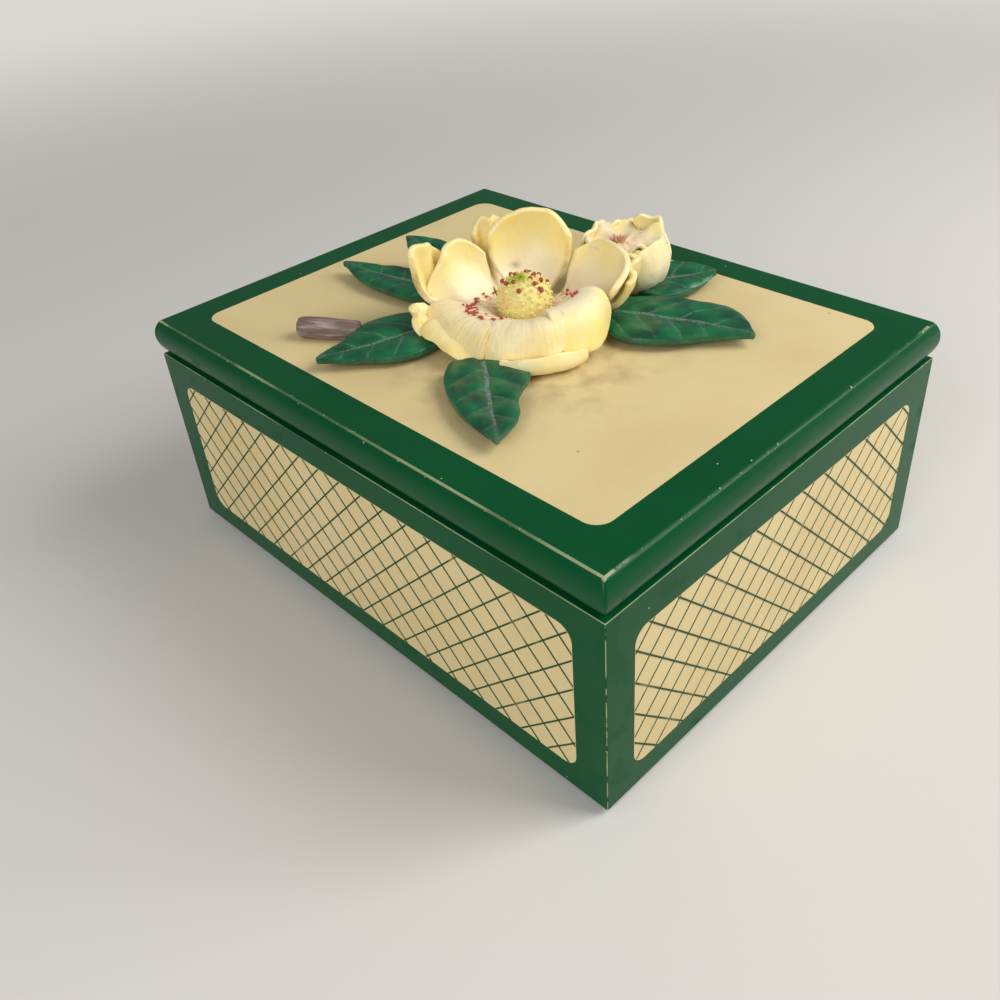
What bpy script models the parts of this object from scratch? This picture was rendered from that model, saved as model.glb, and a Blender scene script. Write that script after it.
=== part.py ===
"""A painted wooden trinket box with a hinged lid and a moulded magnolia on top.

Metres, +Z up. X runs along the long side, the front faces -Y, and the origin is
the middle of the underside of the felt that the box stands on.
"""

import math

import bmesh
import bpy
from mathutils import Matrix, Vector

MM = 0.001

# Gaps and cuts
GLUE_GAP = 0.3 * MM
CUT_OVERRUN = 1.0 * MM

# Case: four mitred walls round a rebated bottom
CASE_LENGTH = 165.0 * MM
CASE_WIDTH = 128.0 * MM
CASE_HEIGHT = 56.0 * MM
WALL_THICKNESS = 8.0 * MM
WALL_ARRIS = 0.5 * MM
BOTTOM_THICKNESS = 4.0 * MM
REBATE_WIDTH = 4.0 * MM
BASE_FELT_THICKNESS = 1.0 * MM
BASE_FELT_INSET = 4.0 * MM
BASE_FELT_CORNER = 3.0 * MM

# Cream panels let into the walls
PANEL_THICKNESS = 0.5 * MM
PANEL_CORNER = 4.0 * MM
PANEL_SIDE_BORDER = 8.8 * MM
PANEL_BOTTOM_BORDER = 6.7 * MM
LONG_PANEL_TOP_BORDER = 7.1 * MM
SHORT_PANEL_TOP_BORDER = 8.6 * MM

# Felt lining
LINING_THICKNESS = 1.2 * MM
LINING_DROP = 2.0 * MM
LID_LINING_THICKNESS = 1.0 * MM
LID_LINING_PLAY = 1.0 * MM
LID_LINING_CORNER = 2.0 * MM

# Lid board: a flat top that ends in a crisp arris over a rounded edge
LID_THICKNESS = 10.0 * MM
LID_ARRIS_INSET = 1.1 * MM
LID_FOOT_INSET = 1.6 * MM
LID_BULGE = 0.7 * MM
LID_BORDER = 10.5 * MM
LID_FIELD_THICKNESS = 0.5 * MM
LID_FIELD_CORNER = 4.0 * MM

# Stop hinges
HINGE_SPACING = 96.0 * MM
HINGE_WIDTH = 18.0 * MM
HINGE_MIDDLE_WIDTH = 6.0 * MM
HINGE_LEAF_THICKNESS = 1.0 * MM
HINGE_LEAF_ON_WOOD = 6.5 * MM
HINGE_TAIL = 3.5 * MM
KNUCKLE_RADIUS = 2.0 * MM
KNUCKLE_STAND_OFF = 0.5 * MM
PIN_RADIUS = 0.9 * MM
PIN_PLAY = 0.2 * MM
PIN_HEAD = 0.5 * MM
SCREW_SPACING = 10.0 * MM
SCREW_EDGE_DISTANCE = 3.6 * MM
SCREW_LENGTH = 5.0 * MM
SCREW_RADIUS = 0.75 * MM
SCREW_HEAD_RADIUS = 1.5 * MM
SCREW_HEAD_DEPTH = 0.7 * MM
SCREW_SINK = 0.05 * MM
SCREW_PLAY = 0.15 * MM
SCREW_POINT = 1.5 * MM

# Large blossom
BLOSSOM_RIGHT = 4.5 * MM
BLOSSOM_FORWARD = 4.0 * MM
BLOSSOM_RADIUS = 28.0 * MM
BLOSSOM_HEIGHT = 26.0 * MM
PETAL_THICKNESS = 1.6 * MM
RECEPTACLE_RADIUS = 9.0 * MM
RECEPTACLE_HEIGHT = 7.4 * MM
CONE_RADIUS = 7.2 * MM
CONE_HEIGHT = 10.0 * MM
INNER_ROOT_HEIGHT = 4.6 * MM
OUTER_ROOT_HEIGHT = 1.2 * MM

# Small blossom
BUD_RIGHT = 8.0 * MM
BUD_BACKWARD = 31.0 * MM
BUD_RADIUS = 12.0 * MM
BUD_HEIGHT = 17.0 * MM
BUD_PETAL_THICKNESS = 1.3 * MM
BUD_RECEPTACLE_RADIUS = 3.6 * MM
BUD_RECEPTACLE_HEIGHT = 11.0 * MM
BUD_ROOT_HEIGHT = 1.0 * MM

# Leaves and stem
LEAF_LENGTH = 36.0 * MM
LEAF_WIDTH = 20.0 * MM
LEAF_THICKNESS = 3.0 * MM
LEAF_TIP_LIFT = 4.0 * MM
STEM_LEFT = 41.0 * MM
STEM_FORWARD = 43.0 * MM
STEM_LENGTH = 12.0 * MM
STEM_RADIUS = 2.7 * MM

# Turns in degrees, where 0 is +X and 90 is +Y
SIDE_TURNS = {"front": 0.0, "right": 90.0, "back": 180.0, "left": 270.0}
STEM_TURN = 31.0

# Counts of facets
CORNER_STEPS = 6
LID_EDGE_STEPS = 10
KNUCKLE_SIDES = 20
SCREW_SIDES = 12
TURNED_SIDES = 26
STEM_SIDES = 14
PETAL_ROWS = 9
PETAL_COLUMNS = 8
BUD_PETAL_ROWS = 8
BUD_PETAL_COLUMNS = 6
LEAF_ROWS = 12
LEAF_COLUMNS = 8
SHARP_ANGLE = math.radians(32.0)
SLOPE_STEP_SHARE = 1.0 / 256.0
PETAL_END_SHARE = 1.0 / 128.0

# Petals as bearing and half span in degrees, then the shares of the blossom's
# radius and height that the rim reaches.
INNER_PETAL_SHARES = {
    "petal_back": (123.0, 29.0, 0.76, 1.00),
    "petal_right": (58.0, 26.0, 0.82, 0.81),
    "petal_front_right": (5.0, 24.5, 0.77, 0.56),
    "petal_front": (-50.0, 25.0, 0.64, 0.50),
    "petal_front_left": (253.0, 27.0, 0.70, 0.46),
    "petal_left": (193.0, 22.0, 0.82, 0.81),
}
OUTER_PETAL_SHARES = {
    "outer_petal_back": (158.0, 12.0, 0.93, 0.88),
    "outer_petal_left": (206.0, 18.0, 1.05, 0.70),
    "outer_petal_curl": (234.0, 8.5, 1.02, 0.32),
    "outer_petal_front_left": (258.0, 12.0, 0.82, 0.20),
    "outer_petal_front": (-31.0, 26.0, 0.86, 0.22),
    "outer_petal_right": (36.0, 21.0, 1.00, 0.50),
}
BUD_PETAL_SHARES = {
    "bud_petal_1": (20.0, 26.0, 1.00, 0.95),
    "bud_petal_2": (80.0, 26.0, 0.96, 1.00),
    "bud_petal_3": (140.0, 26.0, 1.00, 0.92),
    "bud_petal_4": (200.0, 26.0, 0.95, 0.97),
    "bud_petal_5": (260.0, 26.0, 0.82, 0.90),
    "bud_petal_6": (320.0, 26.0, 0.98, 0.86),
}
INNER_BEND_SHARE = 0.95
OUTER_BEND_SHARE = 0.85
BUD_BEND_SHARE = 0.90
PETAL_ROOT_SHARE = 0.80
PETAL_WIDEST_SHARE = 0.62
PETAL_ROUNDING_SHARE = 1.03
PETAL_CUP_SHARE = 0.10
PETAL_ROOT_ROOM_SHARE = 0.20
PETAL_SHOULDER_SHARE = 0.12
PETAL_RIM_SHARE = 0.60
BUD_RIPPLE_SHARE = 0.05
BUD_RIPPLES = 2.0

# Leaves as the bearing and distance of the root, then of the tip, from the large
# blossom's axis, and the shares of the leaf width and of the tip's lift. Bearings
# are in degrees and distances are shares of the leaf length.
LEAF_SHARES = {
    "leaf_right": (47.6, 0.64, 33.4, 1.58, 1.12, 0.0),
    "leaf_back_right": (79.0, 1.23, 73.0, 1.62, 0.70, 0.0),
    "leaf_front": (-66.0, 0.70, -53.4, 1.40, 0.90, 0.0),
    "leaf_front_left": (220.0, 0.66, 238.0, 1.49, 1.05, 0.0),
    "leaf_left": (178.0, 0.76, 184.7, 1.93, 0.75, 0.0),
    "leaf_back_left": (153.0, 0.76, 161.5, 1.42, 0.55, 1.0),
}
LEAF_EDGE_SHARE = 0.70
LEAF_END_SHARE = 0.10
LEAF_FULLNESS_SHARE = 0.80

# Turned outlines of the blossoms' middles and of the stem, as shares of their
# radius and height or length
RECEPTACLE_SHARES = ((1.0, 0.0), (1.0, 0.86), (0.93, 1.0))
CONE_SHARES = ((1.0, 0.0), (1.03, 0.28), (0.93, 0.62), (0.66, 0.87), (0.34, 0.98), (0.0, 1.0))
BUD_CORE_SHARES = ((1.0, 0.0), (0.92, 0.25), (0.86, 0.55), (0.95, 0.80), (0.62, 0.96), (0.0, 1.0))
STEM_SHARES = ((0.80, 0.0), (0.98, 0.04), (1.0, 0.30), (0.90, 0.48), (0.96, 0.72), (0.92, 1.0))

# Heights and places that follow from the sizes above
CASE_FOOT = BASE_FELT_THICKNESS + GLUE_GAP
CASE_RIM = CASE_FOOT + CASE_HEIGHT
LID_FOOT = CASE_RIM + GLUE_GAP
LID_TOP = LID_FOOT + LID_THICKNESS
FLOWER_FOOT = LID_TOP + GLUE_GAP
REBATE_HEIGHT = BOTTOM_THICKNESS + GLUE_GAP
FLOOR_LEVEL = CASE_FOOT + REBATE_HEIGHT
LINING_FOOT = FLOOR_LEVEL + LINING_THICKNESS + GLUE_GAP
LINING_HEIGHT = CASE_RIM - LINING_DROP - LINING_FOOT
INSIDE_LENGTH = CASE_LENGTH - 2.0 * WALL_THICKNESS
INSIDE_WIDTH = CASE_WIDTH - 2.0 * WALL_THICKNESS
HALF_JOINT = GLUE_GAP / 2.0
HINGE_Y = CASE_WIDTH / 2.0 + KNUCKLE_STAND_OFF + KNUCKLE_RADIUS
HINGE_Z = CASE_RIM + HALF_JOINT
HINGE_REACH = HINGE_Y - CASE_WIDTH / 2.0 + HINGE_LEAF_ON_WOOD
SCREW_Y = CASE_WIDTH / 2.0 - SCREW_EDGE_DISTANCE
HINGE_PLACES = {"left": -HINGE_SPACING / 2.0, "right": HINGE_SPACING / 2.0}
MITRE_SETBACK = GLUE_GAP / math.sqrt(2.0)


# Materials


def painted(name, colour, roughness, metallic=0.0):
    """Return a Principled material of one colour."""
    material = bpy.data.materials.new(name)
    material.use_nodes = True
    shader = material.node_tree.nodes["Principled BSDF"]
    shader.inputs["Base Color"].default_value = (*colour, 1.0)
    shader.inputs["Roughness"].default_value = roughness
    shader.inputs["Metallic"].default_value = metallic
    material.diffuse_color = (*colour, 1.0)
    return material


def make_materials():
    """Return the finishes of the box by name."""
    return {
        "green_lacquer": painted("green_lacquer", (0.008, 0.095, 0.034), 0.35),
        "cream_paper": painted("cream_paper", (0.74, 0.60, 0.35), 0.55),
        "raw_board": painted("raw_board", (0.42, 0.29, 0.17), 0.80),
        "green_felt": painted("green_felt", (0.012, 0.060, 0.030), 0.95),
        "brass": painted("brass", (0.72, 0.50, 0.20), 0.30, 1.0),
        "ivory_resin": painted("ivory_resin", (0.86, 0.74, 0.42), 0.50),
        "cone_resin": painted("cone_resin", (0.72, 0.60, 0.20), 0.55),
        "leaf_resin": painted("leaf_resin", (0.014, 0.130, 0.060), 0.40),
        "bark_resin": painted("bark_resin", (0.050, 0.022, 0.018), 0.65),
    }


# Mesh tools


def finish_object(name, mesh_bm, material, place, parent):
    """Turn a bmesh into a named object at a place, under an optional parent."""
    bmesh.ops.recalc_face_normals(mesh_bm, faces=mesh_bm.faces)
    mesh = bpy.data.meshes.new(name)
    mesh_bm.to_mesh(mesh)
    mesh_bm.free()
    mesh.shade_smooth()
    mesh.set_sharp_from_angle(angle=SHARP_ANGLE)
    piece = bpy.data.objects.new(name, mesh)
    bpy.context.scene.collection.objects.link(piece)
    if material is not None:
        mesh.materials.append(material)
    if parent is not None:
        piece.parent = parent
        piece.matrix_parent_inverse = Matrix.Translation(parent.location).inverted()
    piece.matrix_basis = place
    return piece


def loft(rings, strip_caps=False):
    """Return a closed bmesh through equal rings of points, capped at both ends."""
    mesh_bm = bmesh.new()
    rows = [[mesh_bm.verts.new(point) for point in ring] for ring in rings]
    count = len(rows[0])
    for lower, upper in zip(rows, rows[1:]):
        for index in range(count):
            following = (index + 1) % count
            mesh_bm.faces.new((lower[index], lower[following], upper[following], upper[index]))
    for row in (rows[0], rows[-1]):
        if strip_caps:
            for index in range(count // 2 - 1):
                far = count - 1 - index
                mesh_bm.faces.new((row[index], row[index + 1], row[far - 1], row[far]))
        else:
            mesh_bm.faces.new(row)
    return mesh_bm


def slab(outline, depth):
    """Return a closed bmesh of an outline pushed along a vector."""
    mesh_bm = bmesh.new()
    face = mesh_bm.faces.new([mesh_bm.verts.new(point) for point in outline])
    pushed = bmesh.ops.extrude_face_region(mesh_bm, geom=[face])["geom"]
    moved = [item for item in pushed if isinstance(item, bmesh.types.BMVert)]
    bmesh.ops.translate(mesh_bm, verts=moved, vec=depth)
    return mesh_bm


def block(low, high):
    """Return a closed bmesh of the box between two corners."""
    outline = [
        Vector((low[0], low[1], low[2])),
        Vector((high[0], low[1], low[2])),
        Vector((high[0], high[1], low[2])),
        Vector((low[0], high[1], low[2])),
    ]
    return slab(outline, Vector((0.0, 0.0, high[2] - low[2])))


def turned(stations, sides):
    """Return a closed bmesh turned about Z from (radius, height) stations."""
    mesh_bm = bmesh.new()
    rows = []
    for radius, height in stations:
        if radius == 0.0:
            rows.append([mesh_bm.verts.new((0.0, 0.0, height))])
            continue
        turns = [math.tau * index / sides for index in range(sides)]
        ring = [(radius * math.cos(turn), radius * math.sin(turn), height) for turn in turns]
        rows.append([mesh_bm.verts.new(point) for point in ring])
    for lower, upper in zip(rows, rows[1:]):
        for index in range(sides):
            following = (index + 1) % sides
            corners = [lower[index % len(lower)], lower[following % len(lower)]]
            corners += [upper[following % len(upper)], upper[index % len(upper)]]
            mesh_bm.faces.new(list(dict.fromkeys(corners)))
    for row in (rows[0], rows[-1]):
        if len(row) == sides:
            mesh_bm.faces.new(row)
    return mesh_bm


def together(parts):
    """Return one bmesh that holds several closed ones."""
    whole = bmesh.new()
    for part in parts:
        mesh = bpy.data.meshes.new("joined")
        part.to_mesh(mesh)
        part.free()
        whole.from_mesh(mesh)
        bpy.data.meshes.remove(mesh)
    return whole


def moved_by(mesh_bm, place):
    """Return the bmesh after moving its points by a matrix."""
    bmesh.ops.transform(mesh_bm, matrix=place, verts=mesh_bm.verts)
    return mesh_bm


def rounded_rectangle(width, height, corner):
    """Return the points of a rectangle with round corners about the origin."""
    points = []
    for quarter, (side_x, side_y) in enumerate(((1, 1), (-1, 1), (-1, -1), (1, -1))):
        centre_x = side_x * (width / 2.0 - corner)
        centre_y = side_y * (height / 2.0 - corner)
        for step in range(CORNER_STEPS + 1):
            turn = (quarter + step / CORNER_STEPS) * math.pi / 2.0
            points.append((centre_x + corner * math.cos(turn), centre_y + corner * math.sin(turn)))
    return points


def rounded_sheet(width, height, corner, foot, thickness):
    """Return a flat sheet with round corners that lies at a height."""
    outline = [Vector((x, y, foot)) for x, y in rounded_rectangle(width, height, corner)]
    return slab(outline, Vector((0.0, 0.0, thickness)))


def cut(target, name, cutter_bm):
    """Take a shape out of an object with a hidden cutter in the same place."""
    cutter = finish_object(name, cutter_bm, None, target.matrix_basis.copy(), target.parent)
    cutter.hide_render = True
    cutter.display_type = "WIRE"
    change = target.modifiers.new(name, "BOOLEAN")
    change.operation = "DIFFERENCE"
    change.solver = "EXACT"
    change.object = cutter


# Case


def side_sizes(side):
    """Return a side's length, its reach from the middle and its panel's top border."""
    if side in ("front", "back"):
        return CASE_LENGTH, CASE_WIDTH / 2.0, LONG_PANEL_TOP_BORDER
    return CASE_WIDTH, CASE_LENGTH / 2.0, SHORT_PANEL_TOP_BORDER


def side_place(side, reach):
    """Return the matrix that stands a side's own frame on its outer face."""
    turn = Matrix.Rotation(math.radians(SIDE_TURNS[side]), 4, "Z")
    return turn @ Matrix.Translation((0.0, -reach, CASE_FOOT))


def wall_profile():
    """Return a wall's section as depth from the outer face and height."""
    inner = WALL_THICKNESS - REBATE_WIDTH
    return (
        (WALL_ARRIS, 0.0),
        (inner, 0.0),
        (inner, REBATE_HEIGHT),
        (WALL_THICKNESS, REBATE_HEIGHT),
        (WALL_THICKNESS, CASE_HEIGHT),
        (WALL_ARRIS, CASE_HEIGHT),
        (0.0, CASE_HEIGHT - WALL_ARRIS),
        (0.0, WALL_ARRIS),
    )


def panel_outline(side, shrink):
    """Return a panel's points on its wall, drawn in by a distance all round."""
    length, _, top_border = side_sizes(side)
    width = length - 2.0 * (PANEL_SIDE_BORDER + shrink)
    height = CASE_HEIGHT - PANEL_BOTTOM_BORDER - top_border - 2.0 * shrink
    middle = PANEL_BOTTOM_BORDER + shrink + height / 2.0
    points = rounded_rectangle(width, height, PANEL_CORNER - shrink)
    return [(x, middle + z) for x, z in points]


def make_wall(side, materials):
    """Make one mitred wall with its panel recess, and the panel in it."""
    length, reach, _ = side_sizes(side)
    rings = []
    for end in (-1.0, 1.0):
        half = length / 2.0 - MITRE_SETBACK
        rings.append([(end * (half - depth), depth, z) for depth, z in wall_profile()])
    place = side_place(side, reach)
    wall = finish_object(f"wall_{side}", loft(rings), materials["green_lacquer"], place, None)
    recess = [Vector((x, -CUT_OVERRUN, z)) for x, z in panel_outline(side, 0.0)]
    recess_depth = CUT_OVERRUN + PANEL_THICKNESS + GLUE_GAP
    cut(wall, f"recess_{side}", slab(recess, Vector((0.0, recess_depth, 0.0))))
    panel = [Vector((x, 0.0, z)) for x, z in panel_outline(side, GLUE_GAP)]
    panel_bm = slab(panel, Vector((0.0, PANEL_THICKNESS, 0.0)))
    finish_object(f"panel_{side}", panel_bm, materials["cream_paper"], place, None)
    return wall


def make_bottom(materials):
    """Make the bottom board, the felt under it and the felt on it."""
    setback = WALL_THICKNESS - REBATE_WIDTH + GLUE_GAP
    half_x = CASE_LENGTH / 2.0 - setback
    half_y = CASE_WIDTH / 2.0 - setback
    board = block(
        (-half_x, -half_y, CASE_FOOT),
        (half_x, half_y, CASE_FOOT + BOTTOM_THICKNESS),
    )
    finish_object("bottom_board", board, materials["raw_board"], Matrix(), None)
    felt = rounded_sheet(
        CASE_LENGTH - 2.0 * BASE_FELT_INSET,
        CASE_WIDTH - 2.0 * BASE_FELT_INSET,
        BASE_FELT_CORNER,
        0.0,
        BASE_FELT_THICKNESS,
    )
    finish_object("base_felt", felt, materials["green_felt"], Matrix(), None)
    half_x = INSIDE_LENGTH / 2.0 - GLUE_GAP
    half_y = INSIDE_WIDTH / 2.0 - GLUE_GAP
    floor = block(
        (-half_x, -half_y, FLOOR_LEVEL),
        (half_x, half_y, FLOOR_LEVEL + LINING_THICKNESS),
    )
    finish_object("floor_lining", floor, materials["green_felt"], Matrix(), None)


def make_wall_lining(side, materials):
    """Make the felt on the inner face of one wall, the long ones between the short."""
    length, reach, _ = side_sizes(side)
    near = WALL_THICKNESS + GLUE_GAP
    half = length / 2.0 - near
    if side in ("front", "back"):
        half -= LINING_THICKNESS + GLUE_GAP
    foot = LINING_FOOT - CASE_FOOT
    strip = block((-half, near, foot), (half, near + LINING_THICKNESS, foot + LINING_HEIGHT))
    place = side_place(side, reach)
    finish_object(f"lining_{side}", strip, materials["green_felt"], place, None)


# Lid


def lid_edge():
    """Return the lid edge's section as an arc of (reach past the case, height)."""
    chord = Vector((LID_FOOT_INSET - LID_ARRIS_INSET, LID_THICKNESS))
    middle = Vector((-(LID_FOOT_INSET + LID_ARRIS_INSET) / 2.0, LID_THICKNESS / 2.0))
    rise = LID_BULGE - middle.x
    radius = (chord.length**2 / 4.0 + rise**2) / (2.0 * rise)
    outward = Vector((chord.y, -chord.x)).normalized()
    centre = middle - outward * (radius - rise)
    half_turn = math.asin(chord.length / 2.0 / radius)
    start = math.atan2(outward.y, outward.x) - half_turn
    points = []
    for step in range(LID_EDGE_STEPS + 1):
        turn = start + 2.0 * half_turn * step / LID_EDGE_STEPS
        points.append((centre.x + radius * math.cos(turn), centre.y + radius * math.sin(turn)))
    return points


def lid_rings():
    """Return the lid board's level rectangles from its foot to its top."""
    rings = []
    for reach, height in lid_edge():
        half_x = CASE_LENGTH / 2.0 + reach
        half_y = CASE_WIDTH / 2.0 + reach
        corners = ((-half_x, -half_y), (half_x, -half_y), (half_x, half_y), (-half_x, half_y))
        rings.append([(x, y, LID_FOOT + height) for x, y in corners])
    return rings


def make_lid(axis, materials):
    """Make the lid board, the cream field in its top and the felt under it."""
    lid = finish_object("lid_board", loft(lid_rings()), materials["green_lacquer"], Matrix(), axis)
    length = CASE_LENGTH - 2.0 * LID_BORDER
    width = CASE_WIDTH - 2.0 * LID_BORDER
    recess_depth = LID_FIELD_THICKNESS + GLUE_GAP
    recess = rounded_sheet(
        length, width, LID_FIELD_CORNER, LID_TOP - recess_depth, recess_depth + CUT_OVERRUN
    )
    cut(lid, "recess_lid", recess)
    field = rounded_sheet(
        length - 2.0 * GLUE_GAP,
        width - 2.0 * GLUE_GAP,
        LID_FIELD_CORNER - GLUE_GAP,
        LID_TOP - LID_FIELD_THICKNESS,
        LID_FIELD_THICKNESS,
    )
    finish_object("lid_field", field, materials["cream_paper"], Matrix(), axis)
    lining = rounded_sheet(
        INSIDE_LENGTH - 2.0 * LID_LINING_PLAY,
        INSIDE_WIDTH - 2.0 * LID_LINING_PLAY,
        LID_LINING_CORNER,
        LID_FOOT - GLUE_GAP - LID_LINING_THICKNESS,
        LID_LINING_THICKNESS,
    )
    finish_object("lid_lining", lining, materials["green_felt"], Matrix(), axis)
    return lid


# Hinges, with X along the pin, the leaves towards -Y and the origin on the pin


def arc(start, end):
    """Return points of the knuckle's circle between two turns."""
    steps = max(2, round(KNUCKLE_SIDES * abs(end - start) / math.tau))
    turns = [start + (end - start) * step / steps for step in range(steps + 1)]
    return [(KNUCKLE_RADIUS * math.cos(turn), KNUCKLE_RADIUS * math.sin(turn)) for turn in turns]


def case_leaf_outline():
    """Return the case leaf's section: a plate below the joint, rolled over the pin."""
    low = HALF_JOINT + HINGE_LEAF_THICKNESS
    start = math.pi + math.asin(HALF_JOINT / KNUCKLE_RADIUS)
    end = math.asin(low / KNUCKLE_RADIUS) - math.pi
    return [(-HINGE_REACH, -low), (-HINGE_REACH, -HALF_JOINT)] + arc(start, end)


def lid_leaf_outline():
    """Return the lid leaf's section, with the tail that stops the lid on the back wall."""
    high = HALF_JOINT + HINGE_LEAF_THICKNESS
    tail_top = HINGE_LEAF_THICKNESS - KNUCKLE_RADIUS
    start = math.pi - math.asin(HALF_JOINT / KNUCKLE_RADIUS)
    bottom = 1.5 * math.pi
    after_tail = math.tau + math.asin(tail_top / KNUCKLE_RADIUS)
    end = math.tau + math.pi - math.asin(high / KNUCKLE_RADIUS)
    tail = [(HINGE_TAIL, -KNUCKLE_RADIUS), (HINGE_TAIL, tail_top)]
    plate = [(-HINGE_REACH, high), (-HINGE_REACH, HALF_JOINT)]
    return arc(start, bottom) + tail + arc(after_tail, end) + plate


def leaf_notches(for_case):
    """Return the blocks cut from a leaf where the other leaf's knuckles turn."""
    inner = HINGE_MIDDLE_WIDTH / 2.0
    outer = HINGE_WIDTH / 2.0 + CUT_OVERRUN
    near = -(KNUCKLE_RADIUS + GLUE_GAP)
    far = HINGE_TAIL + CUT_OVERRUN
    high = KNUCKLE_RADIUS + CUT_OVERRUN
    if for_case:
        side = inner + GLUE_GAP
        return block((-side, near, -high), (side, far, high))
    right = block((inner, near, -high), (outer, far, high))
    left = block((-outer, near, -high), (-inner, far, high))
    return together([left, right])


def screw_stations(play):
    """Return a screw's (radius, depth) stations, widened all round by its play."""
    neck = SCREW_HEAD_DEPTH + SCREW_SINK
    return (
        (SCREW_HEAD_RADIUS + play, SCREW_SINK),
        (SCREW_RADIUS + play, neck),
        (SCREW_RADIUS + play, SCREW_LENGTH - SCREW_POINT),
    )


def screw_hole():
    """Return the countersunk hole that a screw stands in, with depth along Z."""
    stations = [(SCREW_HEAD_RADIUS + SCREW_PLAY, -CUT_OVERRUN)]
    stations += screw_stations(SCREW_PLAY)
    stations.append((SCREW_RADIUS + SCREW_PLAY, SCREW_LENGTH + GLUE_GAP))
    return turned(stations, SCREW_SIDES)


def screw_body():
    """Return a countersunk screw with a plain shank, with depth along Z."""
    return turned([*screw_stations(0.0), (0.0, SCREW_LENGTH)], SCREW_SIDES)


def screw_places(hinge_x, downwards):
    """Return a matrix on a leaf's face for each of its two screws."""
    turn = Matrix.Rotation(math.pi, 4, "X") if downwards else Matrix()
    level = HINGE_Z - HALF_JOINT if downwards else HINGE_Z + HALF_JOINT
    places = []
    for side in (-1.0, 1.0):
        x = hinge_x + side * SCREW_SPACING / 2.0
        places.append(Matrix.Translation((x, SCREW_Y, level)) @ turn)
    return places


def make_leaf(name, for_case, hinge_x, wood, parent, materials):
    """Make one leaf, the screws that hold it and the seat cut for it in the wood."""
    outline = case_leaf_outline() if for_case else lid_leaf_outline()
    half = HINGE_WIDTH / 2.0
    points = [Vector((-half, y, z)) for y, z in outline]
    place = Matrix.Translation((hinge_x, HINGE_Y, HINGE_Z))
    leaf_bm = slab(points, Vector((HINGE_WIDTH, 0.0, 0.0)))
    leaf = finish_object(name, leaf_bm, materials["brass"], place, parent)
    along = Matrix.Rotation(math.pi / 2.0, 4, "Y")
    ends = ((PIN_RADIUS + PIN_PLAY, -half - CUT_OVERRUN), (PIN_RADIUS + PIN_PLAY, half + CUT_OVERRUN))
    cut(leaf, f"{name}_bore", moved_by(turned(ends, KNUCKLE_SIDES), along))
    cut(leaf, f"{name}_notch", leaf_notches(for_case))
    cut_screw_holes(leaf, name, for_case, hinge_x, place)
    cut_leaf_seat(wood, name, for_case, hinge_x)
    cut_screw_holes(wood, f"{name}_wood", for_case, hinge_x, wood.matrix_basis)
    for number, screw_place in enumerate(screw_places(hinge_x, for_case), start=1):
        screw = screw_body()
        finish_object(f"{name}_screw_{number}", screw, materials["brass"], screw_place, parent)


def cut_screw_holes(target, name, downwards, hinge_x, place):
    """Cut a leaf's two screw holes out of an object that stands at a place."""
    own = place.inverted()
    places = screw_places(hinge_x, downwards)
    cut(target, f"{name}_holes", together([moved_by(screw_hole(), own @ at) for at in places]))


def cut_leaf_seat(wood, name, for_case, hinge_x):
    """Cut the shallow seat that lets a leaf into the case rim or the lid's underside."""
    half = HINGE_WIDTH / 2.0 + GLUE_GAP
    depth = HINGE_LEAF_THICKNESS + GLUE_GAP
    near = HINGE_Y - HINGE_REACH - GLUE_GAP
    far = CASE_WIDTH / 2.0 + LID_BULGE + CUT_OVERRUN
    low, high = LID_FOOT - CUT_OVERRUN, LID_FOOT + depth
    if for_case:
        low, high = CASE_RIM - depth, CASE_RIM + CUT_OVERRUN
    seat = block((hinge_x - half, near, low), (hinge_x + half, far, high))
    cut(wood, f"{name}_seat", moved_by(seat, wood.matrix_basis.inverted()))


def make_pin(name, hinge_x, materials):
    """Make the pin through a hinge's knuckles, domed at both ends."""
    half = HINGE_WIDTH / 2.0
    head = PIN_RADIUS / 2.0
    stations = (
        (head, -half - PIN_HEAD),
        (PIN_RADIUS, -half),
        (PIN_RADIUS, half),
        (head, half + PIN_HEAD),
    )
    place = Matrix.Translation((hinge_x, HINGE_Y, HINGE_Z)) @ Matrix.Rotation(math.pi / 2.0, 4, "Y")
    finish_object(name, turned(stations, KNUCKLE_SIDES), materials["brass"], place, None)


# Blossoms


def petal_width(along):
    """Return a petal's width at a share of its length, as a share of its widest."""
    if along < PETAL_WIDEST_SHARE:
        swell = math.sin(math.pi / 2.0 * along / PETAL_WIDEST_SHARE)
        return PETAL_ROOT_SHARE + (1.0 - PETAL_ROOT_SHARE) * swell
    past = (along - PETAL_WIDEST_SHARE) / (PETAL_ROUNDING_SHARE - PETAL_WIDEST_SHARE)
    return math.sqrt(1.0 - past**2)


def petal_point(shape, along, across):
    """Return a point of a petal's middle surface about the blossom's own axis."""
    (bearing, half_span), root, bend, rim, ripple = shape
    rest = 1.0 - along
    radius = rest**2 * root[0] + 2.0 * rest * along * bend[0] + along**2 * rim[0]
    height = rest**2 * root[1] + 2.0 * rest * along * bend[1] + along**2 * rim[1]
    side = across * petal_width(along)
    radius *= 1.0 - PETAL_CUP_SHARE * side**2
    height -= (height - root[1]) * PETAL_SHOULDER_SHARE * across**2
    wave = ripple * along**3 * math.cos(BUD_RIPPLES * math.pi * across)
    turn = math.radians(bearing + half_span * side)
    reach = radius + wave
    return Vector((reach * math.cos(turn), reach * math.sin(turn), height))


def petal_normal(shape, along, across):
    """Return the petal's unit normal, from small steps along and across."""
    step = SLOPE_STEP_SHARE
    forward = petal_point(shape, along + step, across) - petal_point(shape, along - step, across)
    sideways = petal_point(shape, along, across + step) - petal_point(shape, along, across - step)
    return sideways.cross(forward).normalized()


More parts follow.
